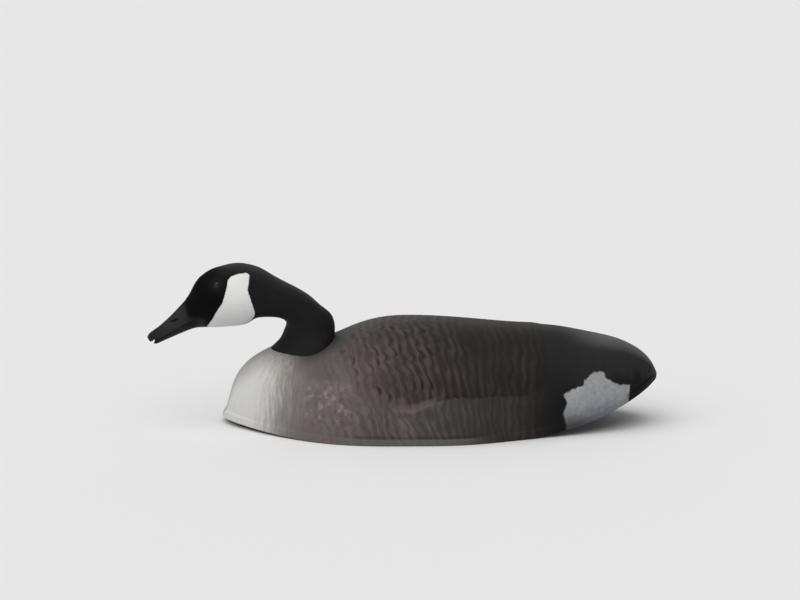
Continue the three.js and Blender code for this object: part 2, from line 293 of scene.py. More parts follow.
def depth_inside(x: Array, y: Array, outline: Outline) -> Array:
    """Measures how far places lie inside a closed outline.

    Args:
        x: First coordinate of each place.
        y: Second coordinate of each place.
        outline: The outline's corners in order.

    Returns:
        The distance to the outline, above zero inside it and below zero outside.
    """
    corners = np.asarray(outline, float)
    nearest = np.full(x.shape, np.inf)
    inside = np.zeros(x.shape, bool)
    for (ax, ay), (bx, by) in zip(corners, np.roll(corners, -1, axis=0)):
        run_x, run_y = bx - ax, by - ay
        share = clamp01(((x - ax) * run_x + (y - ay) * run_y) / (run_x**2 + run_y**2))
        nearest = np.minimum(nearest, np.hypot(x - ax - share * run_x, y - ay - share * run_y))
        if abs(run_y) > 1e-9:
            crosses = (ay > y) != (by > y)
            inside ^= crosses & (x < ax + run_x * (y - ay) / run_y)
    return np.where(inside, nearest, -nearest)


@dataclass
class SocketOval:
    """The oval socket in the shell and the spigot that plugs into it."""

    place: Array
    lean: float = math.radians(12.0)
    length: float = 58.0
    width: float = 44.0
    collar_depth: float = 16.0
    spigot_depth: float = 30.0
    play: float = 0.4

    def to_bench(self, x: Array, y: Array, up: Array) -> Array:
        """Turns places given along the socket's leaning axis into bench places.

        Args:
            x: Distance back from the axis.
            y: Distance to the side of it.
            up: Distance up along it from the skin.

        Returns:
            The places, with a last axis of three.
        """
        x, y, up = np.broadcast_arrays(x, y, up)
        c, s = math.cos(self.lean), math.sin(self.lean)
        return np.stack((x * c - up * s, y, x * s + up * c), axis=-1) + self.place

    def from_bench(self, points: Array) -> tuple[Array, Array, Array]:
        """Turns bench places into places along the socket's axis.

        Args:
            points: Places with a last axis of three.

        Returns:
            Distances back, to the side and up, as to_bench takes them.
        """
        d = points - self.place
        c, s = math.cos(self.lean), math.sin(self.lean)
        return d[..., 0] * c + d[..., 2] * s, d[..., 1], d[..., 2] * c - d[..., 0] * s

    def ring(self, turn: Array, grow: float, up: Array) -> Array:
        """Gives the points of the oval at some angles round its axis.

        Args:
            turn: Angles round the axis.
            grow: How far outside the socket's oval it lies.
            up: Height of each point along the axis.

        Returns:
            The ring's points.
        """
        long, wide = self.length / 2.0 + grow, self.width / 2.0 + grow
        reach = 1.0 / np.hypot(np.cos(turn) / long, np.sin(turn) / wide)
        return self.to_bench(reach * np.cos(turn), reach * np.sin(turn), up)

    def share_out(self, points: Array, grow: float) -> Array:
        """Says how far out points lie, as a share of the grown oval's reach that way."""
        x, y, _ = self.from_bench(points)
        return np.hypot(x / (self.length / 2.0 + grow), y / (self.width / 2.0 + grow))


@dataclass
class BodyForm:
    """The body's outer form, before any feathers are carved."""

    length: float = 562.0
    width: float = 266.0
    back_height: float = 134.0
    wall: float = 3.0
    breast_lift: float = 7.5
    breast_bend: float = 1.3
    tail_lift: float = 60.0
    tail_bend: float = 2.1
    flat_from: float = 130.0
    flat_to: float = 366.0
    side_swell: float = 0.03
    lip_proud: float = 2.0
    lip_height: float = 8.0
    lip_fade: float = 0.03
    wing_relief: float = 1.6
    wing_from: float = 0.25
    wing_to: float = 0.74
    wing_softness: float = 0.16
    wing_ends: float = 0.06
    socket_at: float = 99.0
    socket: SocketOval = field(init=False)

    def __post_init__(self) -> None:
        """Makes the curves of the lines and finds the socket's place on the spine."""
        columns = [SmoothCurve(column) for column in zip(*BODY_LINES)]
        self.spine_at, self.spine_height, self.rim_at, self.rim_half = columns
        self.shoulder = SmoothCurve(SHOULDERS)
        self.wing_edge = SmoothCurve(WING_EDGE)
        fine = np.linspace(0.0, 1.0, 10001)
        along = crossing(self.spine_at(fine) * self.length, self.socket_at)
        self.socket = SocketOval(self.skin(along, np.array(QUARTER_TURN)))

    def rim_height(self, behind: Array) -> Array:
        """Gives the height of the rim.

        Args:
            behind: Distances behind the breast's tip.

        Returns:
            The height at each.
        """
        breast = clamp01(1.0 - behind / self.flat_from)
        tail = clamp01((behind - self.flat_to) / (self.length - self.flat_to))
        return self.breast_lift * breast**self.breast_bend + self.tail_lift * tail**self.tail_bend

    def skin(self, along: Array, turn: Array) -> Array:
        """Gives points of the skin.

        Args:
            along: From the breast at 0 to the tail at 1.
            turn: Round the hoop, from the near rim at 0 over the spine at a quarter turn.

        Returns:
            The points.
        """
        rise, reach = np.sin(turn), np.cos(turn)
        square = self.shoulder(along)
        up = np.maximum(rise, 0.0) ** square
        # The swell is fullest, at side_swell, half way up the side.
        swell = 1.0 + 4.0 * self.side_swell * rise * (1.0 - rise)
        behind = self.length * between(self.rim_at(along), self.spine_at(along), rise)
        low = self.rim_height(self.length * self.rim_at(along))
        high = self.spine_height(along) * self.back_height
        half = self.rim_half(along) * self.width / 2.0
        out = np.sign(reach) * np.abs(reach) ** square * half * swell
        return np.stack(np.broadcast_arrays(behind, -out, between(low, high, up)), axis=-1)

    def wing_share(self, behind: Array) -> Array:
        """Gives how far along the folded wing places lie, from 0 to 1."""
        return (behind / self.length - self.wing_from) / (self.wing_to - self.wing_from)

    def wing(self, behind: Array, up: Array) -> Array:
        """Gives how far the folded wing stands out.

        Args:
            behind: Distance behind the breast's tip.
            up: Height up the side, as a share of it.

        Returns:
            The distance that the skin moves out.
        """
        share = self.wing_share(behind)
        ends = ends_faded(share, 2.0 * self.wing_ends, self.wing_ends)
        above = (up - self.wing_edge(share)) / self.wing_softness + 0.5
        return self.wing_relief * ends * smoothstep(above)


@dataclass
class HeadForm:
    """The head and neck's outer form, from the root of the neck to the tip of the bill."""

    socket: SocketOval
    length: float = 240.0
    bill_from: float = 0.66
    bill_blend: float = 0.12
    bill_tip_ridge: float = 0.55
    foot_to: float = 0.17
    foot_spread: float = 0.17
    foot_square: float = 0.3
    foot_front: float = 0.2

    def __post_init__(self) -> None:
        """Makes the curves of the sections."""
        columns = [SmoothCurve(column) for column in zip(*HEAD_LINES)]
        self.outer_x, self.outer_z, self.inner_x, self.inner_z, self.half = columns
        self.lean = SmoothCurve(HEAD_LEAN)

    def section(self, along: Array) -> tuple[Array, Array, Array]:
        """Gives the frame of a section.

        Args:
            along: Places from the neck's root at 0 to the bill's tip at 1.

        Returns:
            The section's middle, its half depth towards the crown, and its half width.
        """
        flat = np.zeros_like(np.asarray(along, float))
        outer = np.stack((self.outer_x(along), flat, self.outer_z(along)), axis=-1)
        inner = np.stack((self.inner_x(along), flat, self.inner_z(along)), axis=-1)
        middle = (outer + inner) / 2.0 * self.length + self.socket.place
        return middle, (outer - inner) / 2.0 * self.length, self.half(along) * self.length

    def skin(self, along: Array, turn: Array) -> Array:
        """Gives points of the skin.

        Args:
            along: Places from the neck's root at 0 to the bill's tip at 1.
            turn: Angles round the section, from the crown at 0 to the throat at a half turn.

        Returns:
            The points.
        """
        along, turn = np.broadcast_arrays(np.asarray(along, float), np.asarray(turn, float))
        middle, crown, half = self.section(along)
        bill = soft(along, self.bill_from, self.bill_from + self.bill_blend)
        down = (1.0 - np.cos(turn)) / 2.0
        ridge = between(1.0, between(self.bill_tip_ridge, 1.0, down), bill)
        foot = smoothstep(1.0 - along / self.foot_to) * between(1.0, self.foot_front, down)
        round_turn = np.sin(turn)
        full = np.sign(round_turn) * np.abs(round_turn) ** (1.0 - self.foot_square * foot)
        half = half * (1.0 + self.foot_spread * foot)
        side = full * half * ridge * (1.0 + self.lean(along) * np.cos(turn))
        point = middle + crown * np.cos(turn)[..., None]
        point[..., 1] -= side
        return point

    def tangents(self, along: float, turn: float,
                 step: float = 0.01) -> tuple[Array, Array, Array, Array]:
        """Gives the frame of one place on the skin.

        Args:
            along: The place along the sections.
            turn: The angle round its section.
            step: How far to each side the skin is read.

        Returns:
            The point, then unit directions along, round and out.
        """
        point = self.skin(along, turn)
        run = unit(self.skin(along + step, turn) - self.skin(along - step, turn))
        around = unit(self.skin(along, turn + step) - self.skin(along, turn - step))
        out = unit(np.cross(around, run))
        if np.dot(out, point - self.section(np.array(along))[0]) < 0.0:
            out = -out
        return point, run, around, out


def grid_normals(grid: Array) -> Array:
    """Gives the outward unit normals of a grid of hoops that go over from the near rim."""
    return unit(np.cross(np.gradient(grid, axis=0), np.gradient(grid, axis=1)))


@dataclass
class FeatherChart:
    """Rows and columns of feathers laid over the body, as two numbers for each place."""

    form: BodyForm
    wing_lean: float = 0.2
    flank_lean: float = 0.3
    lean_ease: float = 25.0
    upright: Pair = (285.0, 385.0)
    upright_share: float = 0.85
    first_row: float = 110.0
    first_spacing: float = 10.0
    spacing_growth: float = 0.01
    wing_width: Pair = (1.6, 3.2)
    flank_width: Pair = (1.8, 2.4)
    widening: Pair = (200.0, 380.0)
    waviness: float = 0.26
    finer_waviness: float = 0.35
    column_waviness: float = 0.2
    neck_spacing: float = 0.13
    neck_first: float = 30.0
    neck_nearest: float = 12.0
    neck_waviness: Pair = (0.15, 0.1)

    def row_of(self, place: Array) -> Array:
        """Counts rows of slowly growing spacing from the first row.

        Args:
            place: Distances along the body.

        Returns:
            The row of each place, with its fraction.
        """
        past = np.maximum(place - self.first_row, 0.0)
        ahead = np.minimum(place - self.first_row, 0.0)
        grown = np.log1p(self.spacing_growth * past / self.first_spacing) / self.spacing_growth
        return grown + ahead / self.first_spacing

    def leaning(self, behind: Array, arc: Array, lean: float, width: Pair,
                seed: int) -> tuple[Array, Array]:
        """Lays out rows that lean back as they go down the side, and stand upright at the rear.

        Args:
            behind: Distance behind the breast's tip.
            arc: Distance round from the spine, below zero on the far side.
            lean: How far a row goes back for each step down.
            width: A feather's width in rows, in front and behind.
            seed: Which unevenness to add.

        Returns:
            The row and the column of each place.
        """
        drop = np.hypot(arc, self.lean_ease) - self.lean_ease
        upright = self.upright_share * soft(behind, *self.upright)
        place = behind - lean * drop * (1.0 - upright)
        broad, finer_wave, sideways = (
            Ripple(seed + i, size)(behind, arc) for i, size in enumerate((34.0, 13.0, 45.0))
        )
        row = self.row_of(place) + self.waviness * (broad + self.finer_waviness * finer_wave)
        wide = between(*width, soft(place, *self.widening))
        past = np.maximum(place - self.first_row, 0.0)
        spacing = self.first_spacing + self.spacing_growth * past
        column = arc / (spacing * wide) + self.column_waviness * sideways
        return row, column

    def wing(self, behind: Array, arc: Array) -> tuple[Array, Array]:
        """Gives the rows and columns of the back and the folded wings."""
        return self.leaning(behind, arc, self.wing_lean, self.wing_width, 3)

    def flank(self, behind: Array, arc: Array) -> tuple[Array, Array]:
        """Gives the rows and columns of the flanks."""
        return self.leaning(behind, arc, self.flank_lean, self.flank_width, 13)

    def breast(self, points: Array, arc: Array) -> tuple[Array, Array]:
        """Lays out the feathers of the breast, which spread from the neck.

        Args:
            points: The places on the skin.
            arc: Distance round from the spine, below zero on the far side.

        Returns:
            The row and the column of each place.
        """
        from_neck = points - self.form.socket.place
        far = np.maximum(np.linalg.norm(from_neck, axis=-1), self.neck_nearest)
        row = np.log(far / self.neck_first) / self.neck_spacing
        column = np.arctan2(from_neck[..., 1], -from_neck[..., 0]) / self.neck_spacing
        row = row + self.neck_waviness[0] * Ripple(23, 20.0)(points[..., 0], arc)
        column = column + self.neck_waviness[1] * Ripple(24, 30.0)(points[..., 0], arc)
        return row, column


@dataclass(frozen=True)
class TipShape:
    """How round the feathers' tips are: rounder on the shoulder, straighter on the long quills."""

    front: float = 0.26
    rear: float = 0.07
    change_from: float = 230.0
    change_to: float = 340.0


@dataclass(frozen=True)
class FeatherCut:
    """How each feather of a field is carved: rounded tips, each row lying over the next."""

    tips: TipShape = TipShape()
    crown: float = 0.2
    tip_rise: float = 0.45

    def height(self, row: Array, column: Array, behind: Array) -> Array:
        """Gives the carved height of the feathers.

        Args:
            row: Row of each place, with its fraction.
            column: Column of each place, with its fraction.
            behind: Its distance behind the breast's tip.

        Returns:
            Height from 0 in the hollow under a tip to 1 at a tip's middle.
        """
        first = np.floor(row)

        def across(number: Array) -> Array:
            """Gives how far places lie from the middle of a feather, from 0 to 1."""
            return 2.0 * np.abs(np.mod(column + 0.5 * np.mod(number, 2.0), 1.0) - 0.5)

        here, following = across(first), across(first + 1.0)
        changed = soft(behind, self.tips.change_from, self.tips.change_to)
        roundness = between(self.tips.front, self.tips.rear, changed)
        tip = first + 1.0 - roundness * here**2
        over = row < tip
        to_tip = np.where(over, tip - row, first + 2.0 - roundness * following**2 - row)
        side = np.where(over, here, following)
        slope = clamp01(1.0 - to_tip / (1.0 + roundness)) * smoothstep(to_tip / self.tip_rise)
        return slope * (1.0 - self.crown * side**2)


def finer(grid: Array, factor: int) -> Array:
    """Gives a grid of numbers with more places between the given ones.

    Args:
        grid: The numbers, by hoop and by place round it.
        factor: How many steps replace each step.

    Returns:
        The finer grid.
    """
    for axis in (0, 1):
        count = grid.shape[axis]
        fine = np.linspace(0.0, count - 1.0, (count - 1) * factor + 1)
        low = np.minimum(count - 2, fine.astype(int))
        share = fine - low
        share = share[:, None] if axis == 0 else share[None, :]
        grid = between(np.take(grid, low, axis), np.take(grid, low + 1, axis), share)
    return grid


def settled(grid: Array, factor: int) -> Array:
    """Averages a finer grid back to the coarse one, so that steps don't turn jagged.

    Args:
        grid: The finer grid.
        factor: The factor that made it.

    Returns:
        The coarse grid.
    """
    weights = np.array([factor - abs(k) for k in range(-factor + 1, factor)], float)
    weights /= weights.sum()
    for axis in (0, 1):
        pad = [(0, 0), (0, 0)]
        pad[axis] = (factor - 1, factor - 1)
        padded = np.pad(grid, pad, mode="edge")
        count = grid.shape[axis]
        total = np.zeros_like(grid)
        for k, weight in enumerate(weights):
            total += weight * np.take(padded, np.arange(k, k + count), axis)
        grid = np.take(total, np.arange(0, count, factor), axis)
    return grid


class Draft:
    """The points, faces and stored numbers of one piece, gathered before its mesh is made."""

    def __init__(self) -> None:
        """Starts with nothing."""
        self.points: list[Array] = []
        self.count = 0
        self.faces: list[Array] = []
        self.finishes: list[Array] = []
        self.stored: dict[str, list[tuple[Array, Array]]] = {}

    def add(self, points: Array) -> Array:
        """Adds points.

        Args:
            points: The points, with a last axis of three.

        Returns:
            Their numbers, in the same shape.
        """
        flat = np.asarray(points, float).reshape(-1, 3)
        numbers = np.arange(self.count, self.count + len(flat))
        self.points.append(flat)
        self.count += len(flat)
        return numbers.reshape(np.asarray(points).shape[:-1])

    def store(self, name: str, numbers: Array, values: Array) -> None:
        """Keeps a value for each of some points under a name."""
        self.stored.setdefault(name, []).append((numbers.ravel(), np.asarray(values).ravel()))

    def move(self, numbers: Array, points: Array) -> None:
        """Puts some points of one grid somewhere else.

        Args:
            numbers: The numbers of the points, which were added in one go.
            points: Their new places.
        """
        starts = np.cumsum([0] + [len(grid) for grid in self.points])
        grid = int(np.searchsorted(starts, numbers.min(), side="right")) - 1
        self.points[grid][numbers - starts[grid]] = points

    def rings(self, socket: SocketOval, turn: Array, profile: Sequence[Pair]) -> list[Array]:
        """Adds rings of points, each so far outside the socket's oval and so high."""
        return [self.add(socket.ring(turn, grow, np.array(up))) for grow, up in profile]

    def _face(self, corners: Array, finish: int) -> None:
        """Adds faces, one in each row of corner numbers, all with one finish."""
        self.faces.append(corners)
        self.finishes.append(np.full(len(corners), finish))

    def sheet(self, numbers: Array, finish: int, keep: Array | None = None) -> None:
        """Covers a grid of points with four-sided faces, either all or those to keep."""
        corners = quads(numbers)
        self._face(corners.reshape(-1, 4) if keep is None else corners[keep], finish)

    def band(self, first: Array, second: Array, finish: int, closed: bool = False) -> None:
        """Joins two rows of as many points, or two closed rings, with a band of faces."""
        rows = np.stack((first, second))
        self.sheet(looped(rows) if closed else rows, finish)

    def fan(self, tip: int, row: Array, finish: int) -> None:
        """Joins a row of points to one tip with three-sided faces."""
        tips = np.full(len(row) - 1, tip)
        self._face(np.stack((tips, row[:-1], row[1:]), axis=-1), finish)

    def zip_rings(self, first: Array, first_turn: Array, second: Array, second_turn: Array,
                  finish: int) -> None:
        """Joins two rings of different counts with three-sided faces.

        Args:
            first: One ring's point numbers, in any order.
            first_turn: The angle of each round the rings' axis.
            second: The other ring's point numbers.
            second_turn: Their angles.
            finish: The faces' finish.
        """
        first, first_turn = first[np.argsort(first_turn)], np.sort(first_turn)
        second, second_turn = second[np.argsort(second_turn)], np.sort(second_turn)
        # Each point is joined to the other ring's point that comes next by angle.
        ends_a = np.append(first_turn, first_turn[0] + 2.0 * math.pi)
        ends_b = np.append(second_turn, second_turn[0] + 2.0 * math.pi)
        i = j = 0
        corners = []
        while i < len(first) or j < len(second):
            a, b = first[i % len(first)], second[j % len(second)]
            if j == len(second) or (i < len(first) and ends_a[i + 1] <= ends_b[j + 1]):
                i += 1
                corners.append((a, first[i % len(first)], b))
            else:
                j += 1
                corners.append((a, second[j % len(second)], b))
        self._face(np.array(corners), finish)

    def build(self, name: str, shift: Array, finishes: Sequence[Material],
              sharp: float) -> Object:
        """Makes the piece's object.

        Args:
            name: The piece's name.
            shift: What takes bench places to the row frame, in millimetres.
            finishes: The materials, in the order of the finish numbers.
            sharp: The angle in degrees above which edges are sharp.

        Returns:
            The object, linked to the scene.
        """
        points = np.concatenate(self.points)
        used = np.zeros(self.count, bool)
        for corners in self.faces:
            used[corners.ravel()] = True
        new_number = np.cumsum(used) - 1
        faces = [tuple(row) for corners in self.faces for row in new_number[corners].tolist()]
        mesh = bpy.data.meshes.new(name)
        mesh.from_pydata(((points[used] + shift) * MILLIMETRE).tolist(), [], faces)
        mesh.polygons.foreach_set("material_index", np.concatenate(self.finishes).astype(np.int32))
        for label, parts in self.stored.items():
            values = np.zeros(self.count)
            for numbers, part in parts:
                values[numbers] = part
            layer = mesh.attributes.new(label, "FLOAT", "POINT")
            layer.data.foreach_set("value", values[used].astype(np.float32))
        for finish in finishes:
            mesh.materials.append(finish)
        mesh.validate()
        piece = bpy.data.objects.new(name, mesh)
        bpy.context.scene.collection.objects.link(piece)
        turn_faces_out(mesh)
        mesh.shade_smooth()
        mesh.set_sharp_from_angle(angle=math.radians(sharp))
        return piece


def turn_faces_out(mesh: bpy.types.Mesh) -> None:
    """Turns every face outwards.

    Args:
        mesh: The closed mesh.
    """
    work = bmesh.new()
    work.from_mesh(mesh)
    bmesh.ops.recalc_face_normals(work, faces=work.faces)
    work.to_mesh(mesh)
    work.free()


def linear(red: float, green: float, blue: float) -> Colour:
    """Turns a colour as seen on a screen, 0 to 255, into the amounts of light it stands for."""
    return tuple(
        c / 12.92 if c <= 0.04045 else ((c + 0.055) / 1.055) ** 2.4
        for c in (red / 255.0, green / 255.0, blue / 255.0)
    )


def screen_tones(*rows: tuple[float, int, int, int]) -> Tones:
    """Turns rows of a place and a colour as seen on a screen into tones."""
    return tuple((place, linear(*colour)) for place, *colour in rows)


class Wire:
    """One output of a node, which can be reckoned with like a number."""

    def __init__(self, bench: "Bench", socket: NodeSocket) -> None:
        """Remembers the node tree and the output."""
        self.bench = bench
        self.socket = socket

    def __add__(self, other: "Signal") -> "Wire":
        """Returns this plus the other."""
        return self.bench.math("ADD", self, other)

    __radd__ = __add__

    def __mul__(self, other: "Signal") -> "Wire":
        """Returns this times the other."""
        return self.bench.math("MULTIPLY", self, other)

    __rmul__ = __mul__

    def __sub__(self, other: "Signal") -> "Wire":
        """Returns this less the other."""
        return self.bench.math("SUBTRACT", self, other)

    def __rsub__(self, other: "Signal") -> "Wire":
        """Returns the other less this."""
        return self.bench.math("SUBTRACT", other, self)

    def __truediv__(self, other: "Signal") -> "Wire":
        """Returns this divided by the other."""
        return self.bench.math("DIVIDE", self, other)

    def floor(self) -> "Wire":
        """Returns this rounded down."""
        return self.bench.math("FLOOR", self)

    def wrapped(self, span: float = 1.0) -> "Wire":
        """Returns what is left of this above whole spans."""
        return self.bench.math("FLOORED_MODULO", self, span)

    def wave(self) -> "Wire":
        """Returns the sine of this."""
        return self.bench.math("SINE", self)

    def soft(self, low: float, high: float) -> "Wire":
        """Returns a soft rise from 0 to 1 as this goes from low to high."""
        return self.bench.add("ShaderNodeMapRange", "Result", {"interpolation_type": "SMOOTHSTEP"},
                              Value=self, From_Min=low, From_Max=high)

    def within(self, span: Span) -> "Wire":
        """Returns 1 in the middle of a span, which falls softly to 0 at its ends."""
        return self.soft(span[0], span[1]) * self.soft(span[3], span[2])


Signal = Wire | float
Paint = Wire | Colour


class Bench:
    """The node tree of one finish, with short names for the nodes that it uses."""

    def __init__(self, name: str) -> None:
        """Makes an empty material.

        Args:
            name: The material's name.
        """
        self.material = bpy.data.materials.new(name)
        self.material.use_nodes = True
        self.tree = self.material.node_tree
        self.tree.nodes.clear()

    def node(self, kind: str) -> bpy.types.Node:
        """Adds a node."""
        return self.tree.nodes.new(kind)

    def join(self, value: Signal | Paint | None, socket: NodeSocket) -> None:
        """Feeds a socket.

        Args:
            value: A wire, a number or a colour, or None to leave the socket as it is.
            socket: The socket.
        """
        if isinstance(value, Wire):
            self.tree.links.new(value.socket, socket)
        elif isinstance(value, tuple):
            wide = len(socket.default_value) == 4
            socket.default_value = (*value, 1.0) if wide else value
        elif value is not None:
            socket.default_value = value

    def feed(self, node: bpy.types.Node, **values: Signal | Paint | None) -> None:
        """Feeds a node's sockets, by their names with _ for each space."""
        for name, value in values.items():
            self.join(value, node.inputs[name.replace("_", " ")])

    def add(self, kind: str, output: str, settings: dict[str, str],
            **values: Signal | Paint | None) -> Wire:
        """Adds a node.

        Args:
            kind: Its kind.
            output: The output that is wanted.
            settings: What it is set to.
            **values: What feed() takes.

        Returns:
            The output.
        """
        node = self.node(kind)
        for name, setting in settings.items():
            setattr(node, name, setting)
        self.feed(node, **values)
        return Wire(self, node.outputs[output])

    def math(self, kind: str, *values: Signal) -> Wire:
        """Adds a math node.

        Args:
            kind: What it does.
            *values: What it takes.

        Returns:
            The result.
        """
        node = self.node("ShaderNodeMath")
        node.operation = kind
        for value, socket in zip(values, node.inputs):
            self.join(value, socket)
        return Wire(self, node.outputs[0])

    def stored(self, name: str) -> Wire:
        """Reads a number that is stored on the mesh."""
        return self.add("ShaderNodeAttribute", "Fac", {"attribute_name": name})

    def place(self) -> Wire:
        """Reads the place on the piece, in metres."""
        return self.add("ShaderNodeTexCoord", "Object", {})

    def vector(self, x: Signal, y: Signal, z: Signal) -> Wire:
        """Joins three numbers into a place."""
        return self.add("ShaderNodeCombineXYZ", "Vector", {}, X=x, Y=y, Z=z)

    def noise(self, place: Wire, scale: float, detail: float = 2.0, rough: float = 0.5) -> Wire:
        """Adds clouds around 0.5, so many in a unit, with finer layers of a given strength."""
        return self.add("ShaderNodeTexNoise", "Fac", {}, Vector=place, Scale=scale, Detail=detail,
                        Roughness=rough)

    def chance(self, place: Wire) -> Wire:
        """Draws an even number from 0 to 1 for each separate place."""
        return self.add("ShaderNodeTexWhiteNoise", "Value", {}, Vector=place)

    def mixed(self, share: Signal, first: Paint, second: Paint) -> Wire:
        """Mixes two colours.

        Args:
            share: How much of the second shows.
            first: The first colour.
            second: The second colour.

        Returns:
            The mixed colour.
        """
        node = self.node("ShaderNodeMix")
        node.data_type = "RGBA"
        self.join(share, node.inputs[0])
        self.join(first, node.inputs[6])
        self.join(second, node.inputs[7])
        return Wire(self, node.outputs[2])

    def shaded(self, colour: Wire, amount: Signal) -> Wire:
        """Makes a colour lighter or darker by an amount."""
        return self.add("ShaderNodeVectorMath", "Vector", {"operation": "SCALE"},
                        Vector=colour, Scale=amount)

    def tones(self, place: Wire, stops: Tones) -> Wire:
        """Runs through colours along a number.

        Args:
            place: The number.
            stops: Where each colour lies, in order, and the colour.

        Returns:
            The colour at each place.
        """
        low, high = stops[0][0], stops[-1][0]
        node = self.node("ShaderNodeValToRGB")
        ramp = node.color_ramp
        ramp.interpolation = "B_SPLINE"
        self.join((place - low) / (high - low), node.inputs[0])
        while len(ramp.elements) < len(stops):
            ramp.elements.new(1.0)
        for element, (at, colour) in zip(ramp.elements, stops):
            element.position = (at - low) / (high - low)
            element.color = (*colour, 1.0)
        return Wire(self, node.outputs["Color"])

    def bump(self, height: Wire, distance: float, under: Wire | None = None) -> Wire:
        """Roughens the surface by a distance in millimetres, over any bump that lies beneath."""
        return self.add("ShaderNodeBump", "Normal", {}, Height=height,
                        Distance=distance * MILLIMETRE, Normal=under)

    def finish(self, colour: Paint, rough: Signal, normal: Wire | None = None,
               **constants: float) -> Material:
        """Ends the tree in a surface.

        Args:
            colour: Its colour.
            rough: Its roughness.
            normal: Its bent normal, if any.
            **constants: The values of other sockets, as feed() takes them.

        Returns:
            The material.
        """
        node = self.node("ShaderNodeBsdfPrincipled")
        self.feed(node, Base_Color=colour, Roughness=rough, Normal=normal, **constants)
        out = self.node("ShaderNodeOutputMaterial")
        self.tree.links.new(node.outputs[0], out.inputs[0])
        return self.material


@dataclass
class FeatherWires:
    """What a finish needs to know about the feather at each place."""

    to_tip: Wire
    side: Wire
    lot: Wire


@dataclass(frozen=True)
class Bars:
    """The paint of a field of feathers: ground colours, pale tips, and how dark the middles are."""

    fringe: Colour
    contrast: float
    tones: Tones


@dataclass(frozen=True)
class PlumagePaint:
    """The shell's paint: white breast, barred brown back and wings, charcoal rump and tail."""

    tips: TipShape = TipShape()
    breast_tones: Tones = screen_tones(
        (0.0, 221, 221, 220), (46.0, 214, 213, 209), (60.0, 197, 195, 189), (72.0, 165, 160, 155),
        (84.0, 137, 132, 129), (97.0, 121, 116, 114), (112.0, 111, 103, 101), (140.0, 108, 99, 97),
        (200.0, 92, 85, 83),
    )
    flank: Bars = Bars(linear(132, 123, 118), 0.18, screen_tones(
        (100.0, 106, 98, 96), (140.0, 107, 99, 96), (172.0, 91, 83, 81), (206.0, 77, 71, 68),
        (236.0, 82, 76, 73), (264.0, 73, 68, 65), (312.0, 58, 53, 50), (375.0, 50, 45, 43),
        (412.0, 34, 31, 30), (440.0, 26, 26, 26), (562.0, 22, 22, 23),
    ))
    wing: Bars = Bars(linear(118, 105, 102), 0.75, screen_tones(
        (100.0, 90, 82, 81), (170.0, 83, 73, 74), (228.0, 57, 48, 47), (300.0, 38, 32, 29),
        (365.0, 36, 32, 29), (412.0, 30, 29, 28), (440.0, 28, 28, 29), (490.0, 38, 38, 39),
        (562.0, 40, 40, 41),
    ))
    # The patch's tones by height, darker low down as painted shade.
    patch_tones: Tones = screen_tones(
        (12.0, 90, 90, 91), (26.0, 131, 132, 135), (42.0, 156, 158, 162), (80.0, 162, 161, 160),
    )
    bars_end: Pair = (425.0, 380.0)
    bars_calm: Pair = (335.0, 235.0)
    mottle: Colour = linear(158, 148, 144)
    mottle_up: Span = (14.0, 30.0, 63.0, 84.0)
    mottle_back: Span = (98.0, 122.0, 152.0, 182.0)
    wing_line: Colour = linear(124, 113, 109)
    wing_line_back: Span = (214.0, 236.0, 258.0, 288.0)
    wing_faded: Colour = linear(112, 100, 97)
    wing_faded_back: Span = (180.0, 205.0, 222.0, 250.0)
    wing_middle: Span = (12.0, 26.0, 52.0, 72.0)
    wing_middle_back: Span = (205.0, 235.0, 262.0, 290.0)
    # The lip's pale colour stands for wear and for a painted highlight where the lip catches light.
    lip_wear_and_highlight: Colour = linear(110, 106, 110)
    lip_back: Span = (120.0, 200.0, 300.0, 352.0)
    # Where painted shade lies in the crease over the lip.
    crease: Span = (8.0, 10.2, 10.6, 13.6)
    # Dark grey for the halo round the neck's foot and for the neck's painted shadow.
    halo: Colour = linear(62, 60, 60)
    neck_shadow_back: Span = (94.0, 126.0, 138.0, 172.0)
    # A painted sheen on the top of the rump.
    rump_top_sheen: Colour = linear(128, 128, 126)
    # Dark grey of the blotches low on the patch's front.
    patch_dark: Colour = linear(52, 52, 53)
    patch_cool: Colour = linear(116, 127, 141)

    def material(self) -> Material:
        """Returns the finished material."""
        return PlumageMixer(self).finish()


